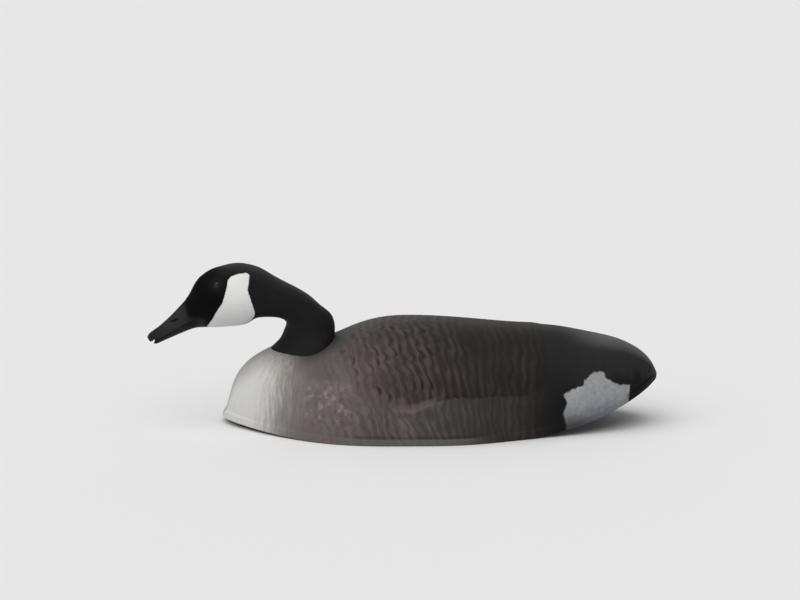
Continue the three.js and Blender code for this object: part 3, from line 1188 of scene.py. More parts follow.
class PlumageMixer:
    """Mixes the shell's paint in layers, each over the colour that the last one left."""

    def __init__(self, paint: PlumagePaint) -> None:
        """Makes the node tree and what the layers share.

        Args:
            paint: The colours, and where they lie.
        """
        self.paint = paint
        self.bench = bench = Bench("shell_plumage_paint")
        self.behind, self.height = bench.stored("behind"), bench.stored("height")
        self.up, self.over_rim = bench.stored("up"), bench.stored("over_rim")
        self.place = bench.place()
        self.cloud = bench.noise(self.place, 34.0, 3.0, 0.55)
        self.speckle = bench.noise(self.place, 900.0, 2.0, 0.6)
        self.wing_streak = self._streak(FeatherField.WING, 1.5, 0.55)
        self.flank_streak = self._streak(FeatherField.FLANK, 1.6, 0.65)
        self.hair = self._streak(FeatherField.BREAST, 0.7, 3.4)
        self.wing = self._feathers(FeatherField.WING)
        ragged = (self.wing_streak - 0.5) * self.behind.soft(195.0, 235.0) * 2.6
        self.on_wing = (bench.stored("wing_blend") + ragged).soft(-0.5, 0.5)

    def finish(self) -> Material:
        """Lays the layers in order.

        Returns:
            The material.
        """
        paint, bench, cloud, speckle = self.paint, self.bench, self.cloud, self.speckle
        wing = self._barred(self.wing, self.wing_streak, paint.wing)
        self.colour = bench.mixed(self.on_wing, self._below_wing(), wing)
        self._edge_wing()
        self._paint_lip_wear_highlight_and_crease_shade()
        self._paint_neck_halo_and_shadow()
        self._paint_back_shade_and_rump_sheen()
        self._paint_patch()
        colour = bench.shaded(self.colour, 0.95 + speckle * 0.1)
        rough = 0.6 + (cloud - 0.5) * 0.2 + (speckle - 0.5) * 0.1
        return bench.finish(colour, rough, self._roughness(), Specular_IOR_Level=0.14)

    def _feathers(self, name: FeatherField) -> FeatherWires:
        """Finds the feather that shows at each place, as FeatherCut carves them.

        Args:
            name: The field.

        Returns:
            The distance to its tip in rows, the place across it, from -1 to 1, and its drawn lot.
        """
        bench, tips = self.bench, self.paint.tips
        row, column = bench.stored(name.row), bench.stored(name.column)
        changed = self.behind.soft(tips.change_from, tips.change_to)
        roundness = changed * (tips.rear - tips.front) + tips.front
        first = row.floor()
        odd = first.wrapped(2.0)
        side_here = (column + odd * 0.5).wrapped() * 2.0 - 1.0
        side_next = (column + (1.0 - odd) * 0.5).wrapped() * 2.0 - 1.0
        bow_here = side_here * side_here * roundness
        bow_next = side_next * side_next * roundness
        into = row - first
        over = bench.math("LESS_THAN", into, 1.0 - bow_here)
        to_tip = over * (1.0 - bow_here - into) + (1.0 - over) * (2.0 - bow_next - into)
        side = over * side_here + (1.0 - over) * side_next
        number = first + 1.0 - over
        shown_odd = over * odd + (1.0 - over) * (1.0 - odd)
        lane = (column + shown_odd * 0.5).floor()
        return FeatherWires(to_tip, side, bench.chance(bench.vector(number, lane, 3.7)))

    def _streak(self, name: FeatherField, rows: float, columns: float) -> Wire:
        """Gives noise that is as fine as asked from row to row and along the rows of a field."""
        row, column = self.bench.stored(name.row), self.bench.stored(name.column)
        return self.bench.noise(self.bench.vector(row * rows, column * columns, 0.0), 1.0, 3.0, 0.6)

    def _barred(self, feather: FeatherWires, streak: Wire, bars: Bars) -> Wire:
        """Paints one field of feathers, whose pale tips join into wavy upright bars.

        Args:
            feather: The feather at each place.
            streak: Noise drawn out along the rows.
            bars: The colours.

        Returns:
            The paint's colour.
        """
        bench, cloud = self.bench, self.cloud
        fading = self.behind.soft(*self.paint.bars_end)
        front = self.behind.soft(*self.paint.bars_calm) * 0.75 + 0.25
        bar = ((feather.to_tip + streak - 0.5) * (2.0 * math.pi) + QUARTER_TURN).wave() * 0.5 + 0.5
        patchy = cloud.soft(0.3, 0.68)
        amount = bar * fading * front * (patchy * 0.26 + feather.lot * 0.24)
        lens = bar.soft(0.8, -0.1) * (1.0 - feather.side * feather.side)
        lens = lens * (feather.lot.soft(0.25, 0.95) * 0.9 + 0.1) * (1.2 - patchy * 0.6)
        light = 1.07 - lens * fading * front * bars.contrast
        light = light + (streak - 0.5) * (front * 0.5 + 0.15) + (cloud - 0.5) * 0.3
        ground = bench.shaded(bench.tones(self.behind, bars.tones), light)
        return bench.mixed(amount, ground, bars.fringe)

    def _breast(self) -> Wire:
        """Paints the white breast, whose edge runs out into the grey in fine hair strokes.

        Returns:
            The breast's colour.
        """
        hair, height = self.hair, self.height
        broad = self._streak(FeatherField.BREAST, 0.5, 1.4)
        # Painted shade low on the breast, and painted light at its top under the neck.
        tilt = height.soft(42.0, 14.0) * 6.0 - height.soft(48.0, 88.0) * 3.0
        ragged = self.behind + (hair - 0.5) * 52.0 + (broad - 0.5) * 30.0
        ragged = ragged + (self.cloud - 0.5) * 10.0 + tilt
        ground = self.bench.tones(ragged, self.paint.breast_tones)
        return self.bench.shaded(ground, 0.86 + hair * 0.2 + self.cloud * 0.08)

    def _below_wing(self) -> Wire:
        """Joins the breast and the flank, with pale mottling where the flank begins.

        Returns:
            The colour below the wing.
        """
        paint, bench = self.paint, self.bench
        feathers = self._feathers(FeatherField.FLANK)
        flank = self._barred(feathers, self.flank_streak, paint.flank)
        on_flank = (self.behind + (self.cloud - 0.5) * 30.0).soft(106.0, 152.0)
        below = bench.mixed(on_flank, self._breast(), flank)
        spots = bench.noise(self.place, 116.0, 2.0, 0.5)
        mottled = self.height.within(paint.mottle_up) * self.behind.within(paint.mottle_back)
        below = bench.shaded(below, 1.0 - spots.soft(0.5, 0.36) * mottled * 0.2)
        return bench.mixed(spots.soft(0.52, 0.68) * mottled * 0.5, below, paint.mottle)

    def _edge_wing(self) -> None:
        """Draws the pale line along the wing's lower edge, and fades and darkens over it."""
        paint, bench, behind = self.paint, self.bench, self.behind
        depth = bench.stored("wing_depth") + (self.speckle - 0.5) * 2.0
        line = (depth + (self.wing_streak - 0.5) * 8.0).soft(-6.5, -2.5)
        line = line * (depth + (self.cloud - 0.5) * 9.0).soft(8.5, 3.0)
        line = line * behind.within(paint.wing_line_back)
        colour = bench.mixed(line * 0.42, self.colour, paint.wing_line)
        paled = depth.soft(20.0, 6.0) * self.on_wing * behind.within(paint.wing_faded_back)
        colour = bench.mixed(paled * 0.28, colour, paint.wing_faded)
        middle = depth.within(paint.wing_middle) * behind.within(paint.wing_middle_back)
        self.colour = bench.shaded(colour, 1.0 - middle * 0.13)

    def _paint_lip_wear_highlight_and_crease_shade(self) -> None:
        """Pales the lip with wear and a painted highlight, and paints shade in the crease over it.
        """
        lip = self.behind.within(self.paint.lip_back)
        over_rim = self.over_rim + (self.cloud - 0.5) * 3.0
        # Wear and a painted highlight on the lip.
        lip_paled = over_rim.soft(9.0, 7.6) * lip * 0.68
        colour = self.bench.mixed(lip_paled, self.colour, self.paint.lip_wear_and_highlight)
        # Painted shade in the crease over the lip.
        darkening = over_rim.within(self.paint.crease) * lip * 0.4
        self.colour = self.bench.shaded(colour, 1.0 - darkening)

    def _paint_neck_halo_and_shadow(self) -> None:
        """Sprays a soft dark halo round the neck's foot, faint in front, and paints the neck's
        shadow on the shoulder.
        """
        halo = (self.bench.stored("from_neck") + (self.hair - 0.5) * 9.0).soft(48.0, 4.0)
        halo = halo * (self.behind.soft(84.0, 116.0) * 0.96 + 0.04)
        # Painted shadow of the neck on the shoulder below and behind it.
        shoulder = self.height.soft(66.0, 82.0) * self.behind.within(self.paint.neck_shadow_back)
        halo = self.bench.math("MAXIMUM", halo, shoulder * 0.46)
        self.colour = self.bench.mixed(halo, self.colour, self.paint.halo)

    def _paint_back_shade_and_rump_sheen(self) -> None:
        """Paints shade on the top of the back and low on the rump, and a pale painted sheen on the
        rump's top.
        """
        behind, up = self.behind, self.up
        # Painted shade low on the rump's sides, and on the top of the back, which turns into a
        # painted highlight on the rump's top.
        under = 1.0 - up.soft(0.62, 0.2) * behind.soft(378.0, 432.0) * 0.5
        along = behind.soft(130.0, 200.0) * (0.3 - behind.soft(375.0, 425.0) * 0.36)
        colour = self.bench.shaded(self.colour, under * (1.0 - up.soft(0.7, 1.0) * along))
        # A pale painted sheen on the rump's top.
        paled = up.soft(0.86, 1.0) * behind.soft(430.0, 500.0) * (self.cloud * 0.6 + 0.7)
        self.colour = self.bench.mixed(paled * 0.34, colour, self.paint.rump_top_sheen)

    def _paint_patch(self) -> None:
        """Paints the pale patch on the rump, ragged above, with painted shade low down and near the
        rim, darker blotches low in front, and cool behind.
        """
        paint, bench, behind, height = self.paint, self.bench, self.behind, self.height
        speckle, streak = self.speckle, self.flank_streak
        feathery = bench.noise(self.place, 190.0, 2.0, 0.6)
        ragged = height.soft(50.0, 64.0) * behind.soft(476.0, 464.0)
        edge = bench.stored("rump_depth") + (speckle - 0.5) * 1.2 + (feathery - 0.5) * 2.8
        edge = edge + (streak - 0.5) * ragged * 16.0
        light = 0.76 - behind.soft(462.0, 515.0) * 0.03 + streak * 0.38 + speckle * 0.14
        light = light + (feathery - 0.5) * 0.6
        light = light + height.soft(34.0, 56.0) * behind.soft(470.0, 455.0) * 0.12
        # Painted shade on the patch near the rim.
        low = (self.over_rim + (feathery - 0.5) * 14.0).soft(19.0, 5.0)
        light = light * (1.0 - low * (0.44 - behind.soft(480.0, 515.0) * 0.26))
        patch = bench.shaded(bench.tones(height, paint.patch_tones), light)
        # Darker feathery blotches low on the patch's front.
        darkening = feathery.soft(0.42, 0.7) * height.soft(34.0, 14.0) * behind.soft(478.0, 448.0)
        patch = bench.mixed(darkening * 0.6, patch, paint.patch_dark)
        cool = height.soft(52.0, 30.0) * behind.soft(456.0, 484.0)
        patch = bench.mixed(cool * 0.35, patch, paint.patch_cool)
        self.colour = bench.mixed(edge.soft(-1.4, 1.4), self.colour, patch)

    def _roughness(self) -> Wire:
        """Gives the surface its grain, the wing's barbs and the brush strokes.

        Returns:
            The bent normal.
        """
        bench, behind, on_wing = self.bench, self.behind, self.on_wing
        strokes = on_wing * self.wing_streak + (1.0 - on_wing) * self.flank_streak
        strokes = strokes * behind.soft(100.0, 140.0) + self.hair * behind.soft(140.0, 100.0)
        off_shaft = bench.math("ABSOLUTE", self.wing.side)
        barbs = (self.wing.to_tip * 52.0 + off_shaft * 30.0).wave() * 0.5 + 0.5
        barbs = barbs * off_shaft.soft(0.02, 0.1) * on_wing
        return bench.bump(strokes, 0.1, bench.bump(barbs, 0.05, bench.bump(self.speckle, 0.05)))


@dataclass(frozen=True)
class BarePlastic:
    """The unpainted dark plastic of the shell's inside, faintly uneven from its mould."""

    colour: Colour = linear(58, 57, 55)
    pale: Colour = linear(70, 69, 66)

    def material(self) -> Material:
        """Mixes the finish.

        Returns:
            The material.
        """
        bench = Bench("shell_bare_plastic")
        place = bench.place()
        cloud = bench.noise(place, 22.0, 3.0, 0.5)
        grain = bench.noise(place, 1400.0, 1.0, 0.5)
        colour = bench.mixed(cloud.soft(0.3, 0.75) * 0.5, self.colour, self.pale)
        normal = bench.bump(grain, 0.04, bench.bump(cloud, 0.6))
        return bench.finish(colour, 0.48 + (cloud - 0.5) * 0.2, normal, Specular_IOR_Level=0.35)


@dataclass(frozen=True)
class HeadPaint:
    """Matt black head and neck with a white cheek, and a smoother dark bill, with painted sheen,
    highlights and shade.
    """

    black: Colour = linear(4, 4, 5)
    # The neck's lighter black, the grey round the eye, the crown and the ridge are painted sheen
    # and highlights.
    neck: Colour = linear(30, 30, 32)
    round_eye: Colour = linear(44, 44, 44)
    crown: Colour = linear(44, 44, 45)
    ridge: Colour = linear(66, 66, 67)
    white: Colour = linear(250, 250, 248)
    white_dull: Colour = linear(231, 231, 228)
    bill: Colour = linear(43, 43, 44)
    bill_pale: Colour = linear(57, 56, 55)
    nostril: Colour = linear(9, 7, 7)
    mouth: Colour = linear(9, 9, 9)

    def material(self) -> Material:
        """Mixes the finish.

        Returns:
            The material.
        """
        bench = Bench("head_paint")
        place = bench.place()
        run, around = bench.stored("run"), bench.stored("around")
        hairs = bench.noise(bench.vector(run * 0.3, around * 1.3, 0.0), 1.0, 3.0, 0.6)
        tufts = bench.noise(bench.vector(run * 0.09, around * 0.35, 2.0), 1.0, 2.0)
        speckle = bench.noise(place, 1100.0, 2.0, 0.5)
        cloud = bench.noise(place, 35.0, 3.0, 0.5)

        # Painted sheen down the neck.
        black = bench.mixed(bench.stored("down_neck"), self.black, self.neck)
        # A painted highlight round the eye.
        black = bench.mixed(bench.stored("by_eye") * 0.6, black, self.round_eye)
        # Painted sheen on the crown, brightest along its ridge.
        crown = bench.stored("crown") * (0.4 + hairs * 0.6)
        black = bench.mixed(crown, black, self.crown)
        black = bench.mixed(crown * bench.stored("ridge") * 0.8, black, self.ridge)
        black = bench.shaded(black, 0.7 + hairs * 0.5 + (cloud - 0.5) * 0.5)
        cheek_edge = bench.stored("cheek_depth") + (hairs - 0.5) * 2.4 + (tufts - 0.5) * 2.0
        white = bench.mixed(cloud, self.white, self.white_dull)
        # Painted shade on the cheek's lower part.
        white = bench.shaded(white, 0.95 + hairs * 0.06 - bench.stored("chin") * 0.23)
        colour = bench.mixed(cheek_edge.soft(-0.45, 0.45), black, white)

        bill_edge = bench.stored("bill_depth") + (hairs - 0.5) * 2.0 + (tufts - 0.5) * 2.0
        on_bill = bill_edge.soft(-2.0, 6.0)
        bill = bench.mixed(cloud, self.bill, self.bill_pale)
        # The bill's painted light and shade, as bill_light gives it.
        bill = bench.shaded(bill, (0.8 + speckle * 0.2 + hairs * 0.2) * bench.stored("bill_light"))
        # Painted shade in the nostrils' hollows.
        bill = bench.mixed(bench.stored("nostril").soft(0.05, 0.7) * 0.85, bill, self.nostril)
        bill = bench.mixed(bench.stored("mouth").soft(0.3, 1.0) * 0.8, bill, self.mouth)
        colour = bench.mixed(on_bill, colour, bill)

        feathered = bench.bump(tufts, 0.5, bench.bump(hairs, 0.14, bench.bump(speckle, 0.04)))
        matt = 0.6 - on_bill * 0.2 + (cloud - 0.5) * 0.12
        return bench.finish(colour, matt, feathered, Specular_IOR_Level=0.07)


@dataclass(frozen=True)
class EyeGlass:
    """A dark brown eye with a black pupil under a soft gloss."""

    iris: Colour = linear(25, 20, 17)
    fleck: Colour = linear(26, 19, 15)
    pupil: Colour = linear(6, 6, 7)

    def material(self) -> Material:
        """Mixes the finish.

        Returns:
            The material.
        """
        bench = Bench("eye_gloss")
        off = bench.stored("off_middle")
        flecks = bench.noise(bench.place(), 2600.0, 2.0, 0.6)
        iris = bench.shaded(bench.mixed(flecks, self.iris, self.fleck), 1.2 - off * 0.6)
        colour = bench.mixed((off + (flecks - 0.5) * 0.04).soft(0.5, 0.58), self.pupil, iris)
        return bench.finish(colour, 0.3 + flecks * 0.06, Specular_IOR_Level=0.42)


class Side(Enum):
    """Which side of the bird a piece is on; the near side is the one that the camera sees."""

    NEAR = -1
    FAR = 1


@dataclass
class Layer:
    """The outer or the inner skin of the shell in a draft, by its point numbers."""

    grid: Array
    tips: Array
    loop: tuple[Array, Array]

    def rim(self, column: int) -> Array:
        """Returns one side's rim from tip to tip."""
        return np.concatenate(([self.tips[0]], self.grid[:, column], [self.tips[1]]))


@dataclass
class Shell:
    """The hollow body shell with its carved feathers, wings, rim lip and socket collar."""

    form: BodyForm
    chart: FeatherChart
    hoops: int = 386
    hoop_samples: int = 4001
    hoop_evenness: float = 0.72
    rises: int = 84
    rise_samples: int = 2001
    rise_pattern_at: float = 0.45
    inner_rises: int = 21
    inner_ends: Pair = (0.02, 0.985)
    lip_rows: tuple = (0.0, 0.035, 0.1, 0.35, 0.65, 0.9, 0.97)
    chamfer_rows: tuple = (0.0, 0.3, 0.6, 0.9, 1.2, 1.5, 1.8)
    chamfer_least: float = 0.2
    side_in_lips: float = 3.0
    lip_rounding: float = 0.25
    lip_rounding_height: float = 0.03
    wing_feathers: float = 0.2
    flank_relief: float = 0.14
    breast_relief: float = 0.22
    rear_relief: float = 0.45
    wing_step: float = 0.28
    wing_step_fade: float = 14.0
    wing_edge_wave: float = 1.6
    wing_edge_soft: float = 3.0
    wing_edge_soft_front: float = 34.0
    wing_edge_soft_rear: float = 14.0
    carving_ends: float = 0.012
    carving_over_lip: float = 4.0
    halo_starts: float = 20.0
    hole_reach: float = 40.0
    collar_sides: int = 96
    collar_rounding: float = 0.8
    collar_corner: Pair = (0.25, 0.2)
    collar_tops: Pair = (-4.0, -9.0)
    detail: int = 4
    sharp_above: float = 38.0

    def along_places(self) -> Array:
        """Spreads the hoops evenly over the body, a little closer at its ends.

        Returns:
            Each hoop's place.
        """
        fine = np.linspace(0.0, 1.0, self.hoop_samples)
        length = lengths_along(self.form.skin(fine, np.array(1.0)))
        blend = self.hoop_evenness * length / length[-1] + (1.0 - self.hoop_evenness) * fine
        return np.interp(np.linspace(0.0, 1.0, self.hoops + 2)[1:-1], blend, fine)

    def near_turns(self, along: Array) -> tuple[Array, Array, Array, Array]:
        """Spreads the rows of the near side from the rim up to the spine.

        Args:
            along: Each hoop's place.

        Returns:
            The turn of every row on each hoop, the lip's height and reach on each hoop, and each
            row's share in the lip, from 0 to 1.
        """
        form = self.form
        lip_rows, chamfer_rows = np.array(self.lip_rows), np.array(self.chamfer_rows)
        foot = form.skin(along, np.array(0.0))[:, 2]
        side = form.spine_height(along) * form.back_height - foot
        tall = np.minimum(form.lip_height, side / self.side_in_lips)
        proud = form.lip_proud * ends_faded(along, form.lip_fade, form.lip_fade)
        low = np.outer(tall, lip_rows)
        high = tall[:, None] + np.outer(np.maximum(proud, self.chamfer_least), chamfer_rows)
        up = clamp01(np.concatenate((low, high), axis=1) / side[:, None])
        turn_low = np.arcsin(up ** (1.0 / form.shoulder(along)[:, None]))
        fine = np.linspace(0.0, QUARTER_TURN, self.rise_samples)
        arc = lengths_along(form.skin(np.array(self.rise_pattern_at), fine))
        even = np.interp(np.linspace(0.0, arc[-1], self.rises + 1)[1:], arc, fine)
        start = turn_low[:, -1:]
        turn_high = start + (QUARTER_TURN - start) * even[None, :] / QUARTER_TURN
        rounding = 1.0 - self.lip_rounding * np.exp(-lip_rows / self.lip_rounding_height)
        chamfer = 1.0 - smoothstep(chamfer_rows / chamfer_rows[-1])
        profile = np.concatenate((rounding, chamfer, np.zeros(self.rises)))
        return np.concatenate((turn_low, turn_high), axis=1), tall, proud, profile

    def charts(self, grid: Array) -> dict[str, Array]:
        """Works out the numbers that the carving and the paint share.

        Args:
            grid: The bare skin's points, with the spine in the middle column.

        Returns:
            A grid of numbers under each name.
        """
        form, spine = self.form, grid.shape[1] // 2
        arc = lengths_along(grid, 1)
        arc = arc[:, spine : spine + 1] - arc
        behind, height = grid[..., 0], grid[..., 2]
        foot, top = grid[:, :1, 2], grid[:, spine : spine + 1, 2]
        share = form.wing_share(behind)
        up = clamp01((height - foot) / np.maximum(top - foot, 1e-6))
        wing_depth = (up - form.wing_edge(share)) * (top - foot)
        wing_depth = wing_depth + self.wing_edge_wave * Ripple(21, 26.0)(behind, arc)
        softness = self.wing_edge_soft + self.wing_edge_soft_front * soft(share, 0.34, 0.14)
        softness = softness + self.wing_edge_soft_rear * soft(share, 0.88, 1.02)
        numbers = {
            "behind": behind,
            "height": height,
            "up": up,
            "over_rim": height - foot,
            "wing_depth": wing_depth,
            "wing_blend": wing_depth / softness,
            "rump_depth": depth_inside(behind, height, RUMP_PATCH),
        }
        fields = {
            FeatherField.WING: self.chart.wing(behind, arc),
            FeatherField.FLANK: self.chart.flank(behind, arc),
            FeatherField.BREAST: self.chart.breast(grid, arc),
        }
        for name, (row, column) in fields.items():
            numbers[name.row], numbers[name.column] = row, column
        return numbers

    def relief(self, chart: dict[str, Array]) -> Array:
        """Carves the feathers and the wing's edge.

        Args:
            chart: What charts() gives.

        Returns:
            How far each point moves out.
        """
        cut = FeatherCut()
        fine = {name: finer(values, self.detail) for name, values in chart.items()}
        behind, depth = fine["behind"], fine["wing_depth"]
        wing, flank, breast = (
            height * (cut.height(fine[name.row], fine[name.column], behind) - 0.5)
            for name, height in ((FeatherField.WING, self.wing_feathers),
                                 (FeatherField.FLANK, self.flank_relief),
                                 (FeatherField.BREAST, self.breast_relief))
        )
        below = between(breast, flank, soft(behind, 95.0, 155.0))
        feathers = between(below, wing, smoothstep(fine["wing_blend"] + 0.5))
        feathers = feathers * between(1.0, self.rear_relief, soft(behind, 300.0, 420.0))
        share = self.form.wing_share(behind)
        step = soft(depth, -0.8, 0.8) * np.exp(-np.maximum(depth, 0.0) / self.wing_step_fade)
        step = step * soft(share, 1.0, 0.75) * soft(share, 0.1, 0.35)
        return settled(feathers + self.wing_step * step, self.detail)

    def build(self, shift: Array, finishes: Sequence[Material]) -> Object:
        """Makes the shell.

        Args:
            shift: What takes bench places to the row frame.
            finishes: The outside's paint and the bare inside.

        Returns:
            The shell's object.
        """
        draft = Draft()
        along = self.along_places()
        outer, inner = self._outside(draft, along), self._inside(draft, along)
        for column in (0, -1):
            draft.band(outer.rim(column), inner.rim(column), Coat.BARE)
        self._collar(draft, outer.loop, inner.loop)
        return draft.build(SHELL_NODE + "_carved", shift, finishes, self.sharp_above)

    def _outside(self, draft: Draft, along: Array) -> Layer:
        """Carves the outer skin and stores what its paint needs.

        Args:
            draft: The piece.
            along: Each hoop's place.

        Returns:
            The skin's point numbers.
        """
        form, socket = self.form, self.form.socket
        near, tall, proud, profile = self.near_turns(along)
        turns = np.concatenate((near, math.pi - near[:, -2::-1]), axis=1)
        profile = np.concatenate((profile, profile[-2::-1]))
        bare = form.skin(along[:, None], turns)
        chart = self.charts(bare)
        lip_top = tall + proud * self.chamfer_rows[-1]
        over_lip = bare[..., 2] - bare[:, :1, 2] - lip_top[:, None]
        carve = self.relief(chart) * soft(over_lip, 0.0, self.carving_over_lip)
        carve = carve * ends_faded(along, self.carving_ends, self.carving_ends)[:, None]
        out = form.wing(chart["behind"], chart["up"]) + carve
        moved = bare + grid_normals(bare) * out[..., None]
        self._stand_lip(moved, bare, profile, proud)
        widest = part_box(SHELL_NODE)[1].y / MILLIMETRE
        moved[..., 1] = np.clip(moved[..., 1], -widest, widest)

        grid = draft.add(moved)
        for name, values in chart.items():
            draft.store(name, grid, values)
        x, y, _ = socket.from_bench(bare)
        far = np.maximum(socket.share_out(bare, self.halo_starts) - 1.0, 0.0)
        draft.store("from_neck", grid, far * np.hypot(x, y) / (far + 1.0))
        ends = ((0.0, 0.0, form.breast_lift), (form.length, 0.0, form.tail_lift))
        tips = draft.add(np.array(ends))
        hole = socket.share_out(bare, 0.0) < 1.0
        hole &= bare[..., 2] > socket.place[2] - self.hole_reach
        return self._skin(draft, grid, tips, bare, hole, 0.0, Coat.PAINT)

    def _inside(self, draft: Draft, along: Array) -> Layer:
        """Makes the plain inner skin, whose hoops start and end a wall's thickness in.

        Args:
            draft: The piece.
            along: Each outer hoop's place.

        Returns:
            The skin's point numbers.
        """
        form, wall = self.form, self.form.wall
        places = between(*self.inner_ends, (along - along[0]) / (along[-1] - along[0]))
        quarter = np.linspace(0.0, QUARTER_TURN, self.inner_rises)
        turns = np.concatenate((quarter, math.pi - quarter[-2::-1]))
        skin = form.skin(places[:, None], turns[None, :])
        ceiling = skin - grid_normals(skin) * wall
        for end in (0, -1):
            ceiling[:, end, 2] = form.rim_height(ceiling[:, end, 0])
        grid = draft.add(ceiling)
        ends = np.array([wall, form.length - wall])
        tips = draft.add(np.stack((ends, np.zeros(2), form.rim_height(ends)), axis=-1))
        hole = (form.socket.share_out(ceiling, wall) < 1.0) & (ceiling[..., 2] > self.hole_reach)
        return self._skin(draft, grid, tips, ceiling, hole, wall, Coat.BARE)

    def _stand_lip(self, moved: Array, bare: Array, profile: Array, proud: Array) -> None:
        """Stands the rim's lip out from the skin, upright, with a slanted top.

        Args:
            moved: The points, which are changed.
            bare: The points before carving.
            profile: How far each column belongs to the lip, from 0 to 1.
            proud: How far the lip stands out on each hoop.
        """
        columns, half = np.flatnonzero(profile > 0.0), len(profile) // 2
        for end, outward, own in ((0, 1.0, columns <= half), (-1, -1.0, columns > half)):
            run = np.gradient(bare[:, end], axis=0)
            out = outward * unit(np.stack((run[:, 1], -run[:, 0]), axis=-1))
            face = bare[:, end, :2] + out * proud[:, None]
            for i in columns[own]:
                moved[:, i, :2] = between(moved[:, i, :2], face, profile[i])

    def _skin(self, draft: Draft, grid: Array, tips: Array, bare: Array, inside: Array,
              grow: float, coat: Coat) -> Layer:
        """Covers a skin with faces round an oval hole and pulls the hole's edge to the oval.

        Args:
            draft: The piece.
            grid: The skin's point numbers.
            tips: The numbers of its two end points.
            bare: The points before carving, by which the hole is found.
            inside: Which points lie in the hole.
            grow: How far outside the socket's oval the hole's edge lies.
            coat: The skin's finish.

        Returns:
            The skin's point numbers, with the hole's edge and its angles round the socket.
        """
        near = inside[:-1, :-1] | inside[1:, :-1] | inside[1:, 1:] | inside[:-1, 1:]
        draft.sheet(grid, coat, ~near)
        for end in (0, 1):
            draft.fan(tips[end], grid[-end], coat)
        touches_hole = np.zeros(inside.shape, bool)
        touches_kept = np.zeros(inside.shape, bool)
        for di in (0, 1):
            for dj in (0, 1):
                rows = slice(di, di + near.shape[0])
                columns = slice(dj, dj + near.shape[1])
                touches_hole[rows, columns] |= near
                touches_kept[rows, columns] |= ~near
        edge = touches_hole & touches_kept
        x, y, up = self.form.socket.from_bench(bare[edge])
        out = self.form.socket.share_out(bare[edge], grow)
        draft.move(grid[edge], self.form.socket.to_bench(x / out, y / out, up))
        return Layer(grid, tips, (grid[edge], np.arctan2(y, x)))

    def _collar(self, draft: Draft, rim_loop: tuple[Array, Array],
                ceiling_loop: tuple[Array, Array]) -> None:
        """Builds the collar that hangs below the socket's hole.

        Args:
            draft: The piece.
            rim_loop: The hole's edge in the skin.
            ceiling_loop: The larger hole's edge in the inside.
        """
        wall, rounding, (nick, nick_up) = self.form.wall, self.collar_rounding, self.collar_corner
        foot = -wall - self.form.socket.collar_depth
        turn = np.linspace(-math.pi, math.pi, self.collar_sides, endpoint=False)
        rings = draft.rings(self.form.socket, turn, (
            (0.0, self.collar_tops[0]), (0.0, foot + rounding), (nick, foot + nick_up),
            (rounding, foot), (wall - rounding, foot), (wall - nick, foot + nick_up),
            (wall, foot + rounding), (wall, self.collar_tops[1]),
        ))
        for first, second in zip(rings, rings[1:]):
            draft.band(first, second, Coat.BARE, closed=True)
        draft.zip_rings(*rim_loop, rings[0], turn, Coat.BARE)
        draft.zip_rings(*ceiling_loop, rings[-1], turn, Coat.BARE)

    def skin_tree(self) -> BVHTree:
        """Gives the bare skin under the neck, for setting the neck on it.

        Returns:
            The skin's faces.
        """
        along = np.linspace(0.01, 0.5, 220)
        turns = np.linspace(0.05, math.pi - 0.05, 200)
        grid = self.form.skin(along[:, None], turns[None, :])
        corners = quads(np.arange(grid[..., 0].size).reshape(grid.shape[:2]))
        return BVHTree.FromPolygons(grid.reshape(-1, 3).tolist(), corners.reshape(-1, 4).tolist())


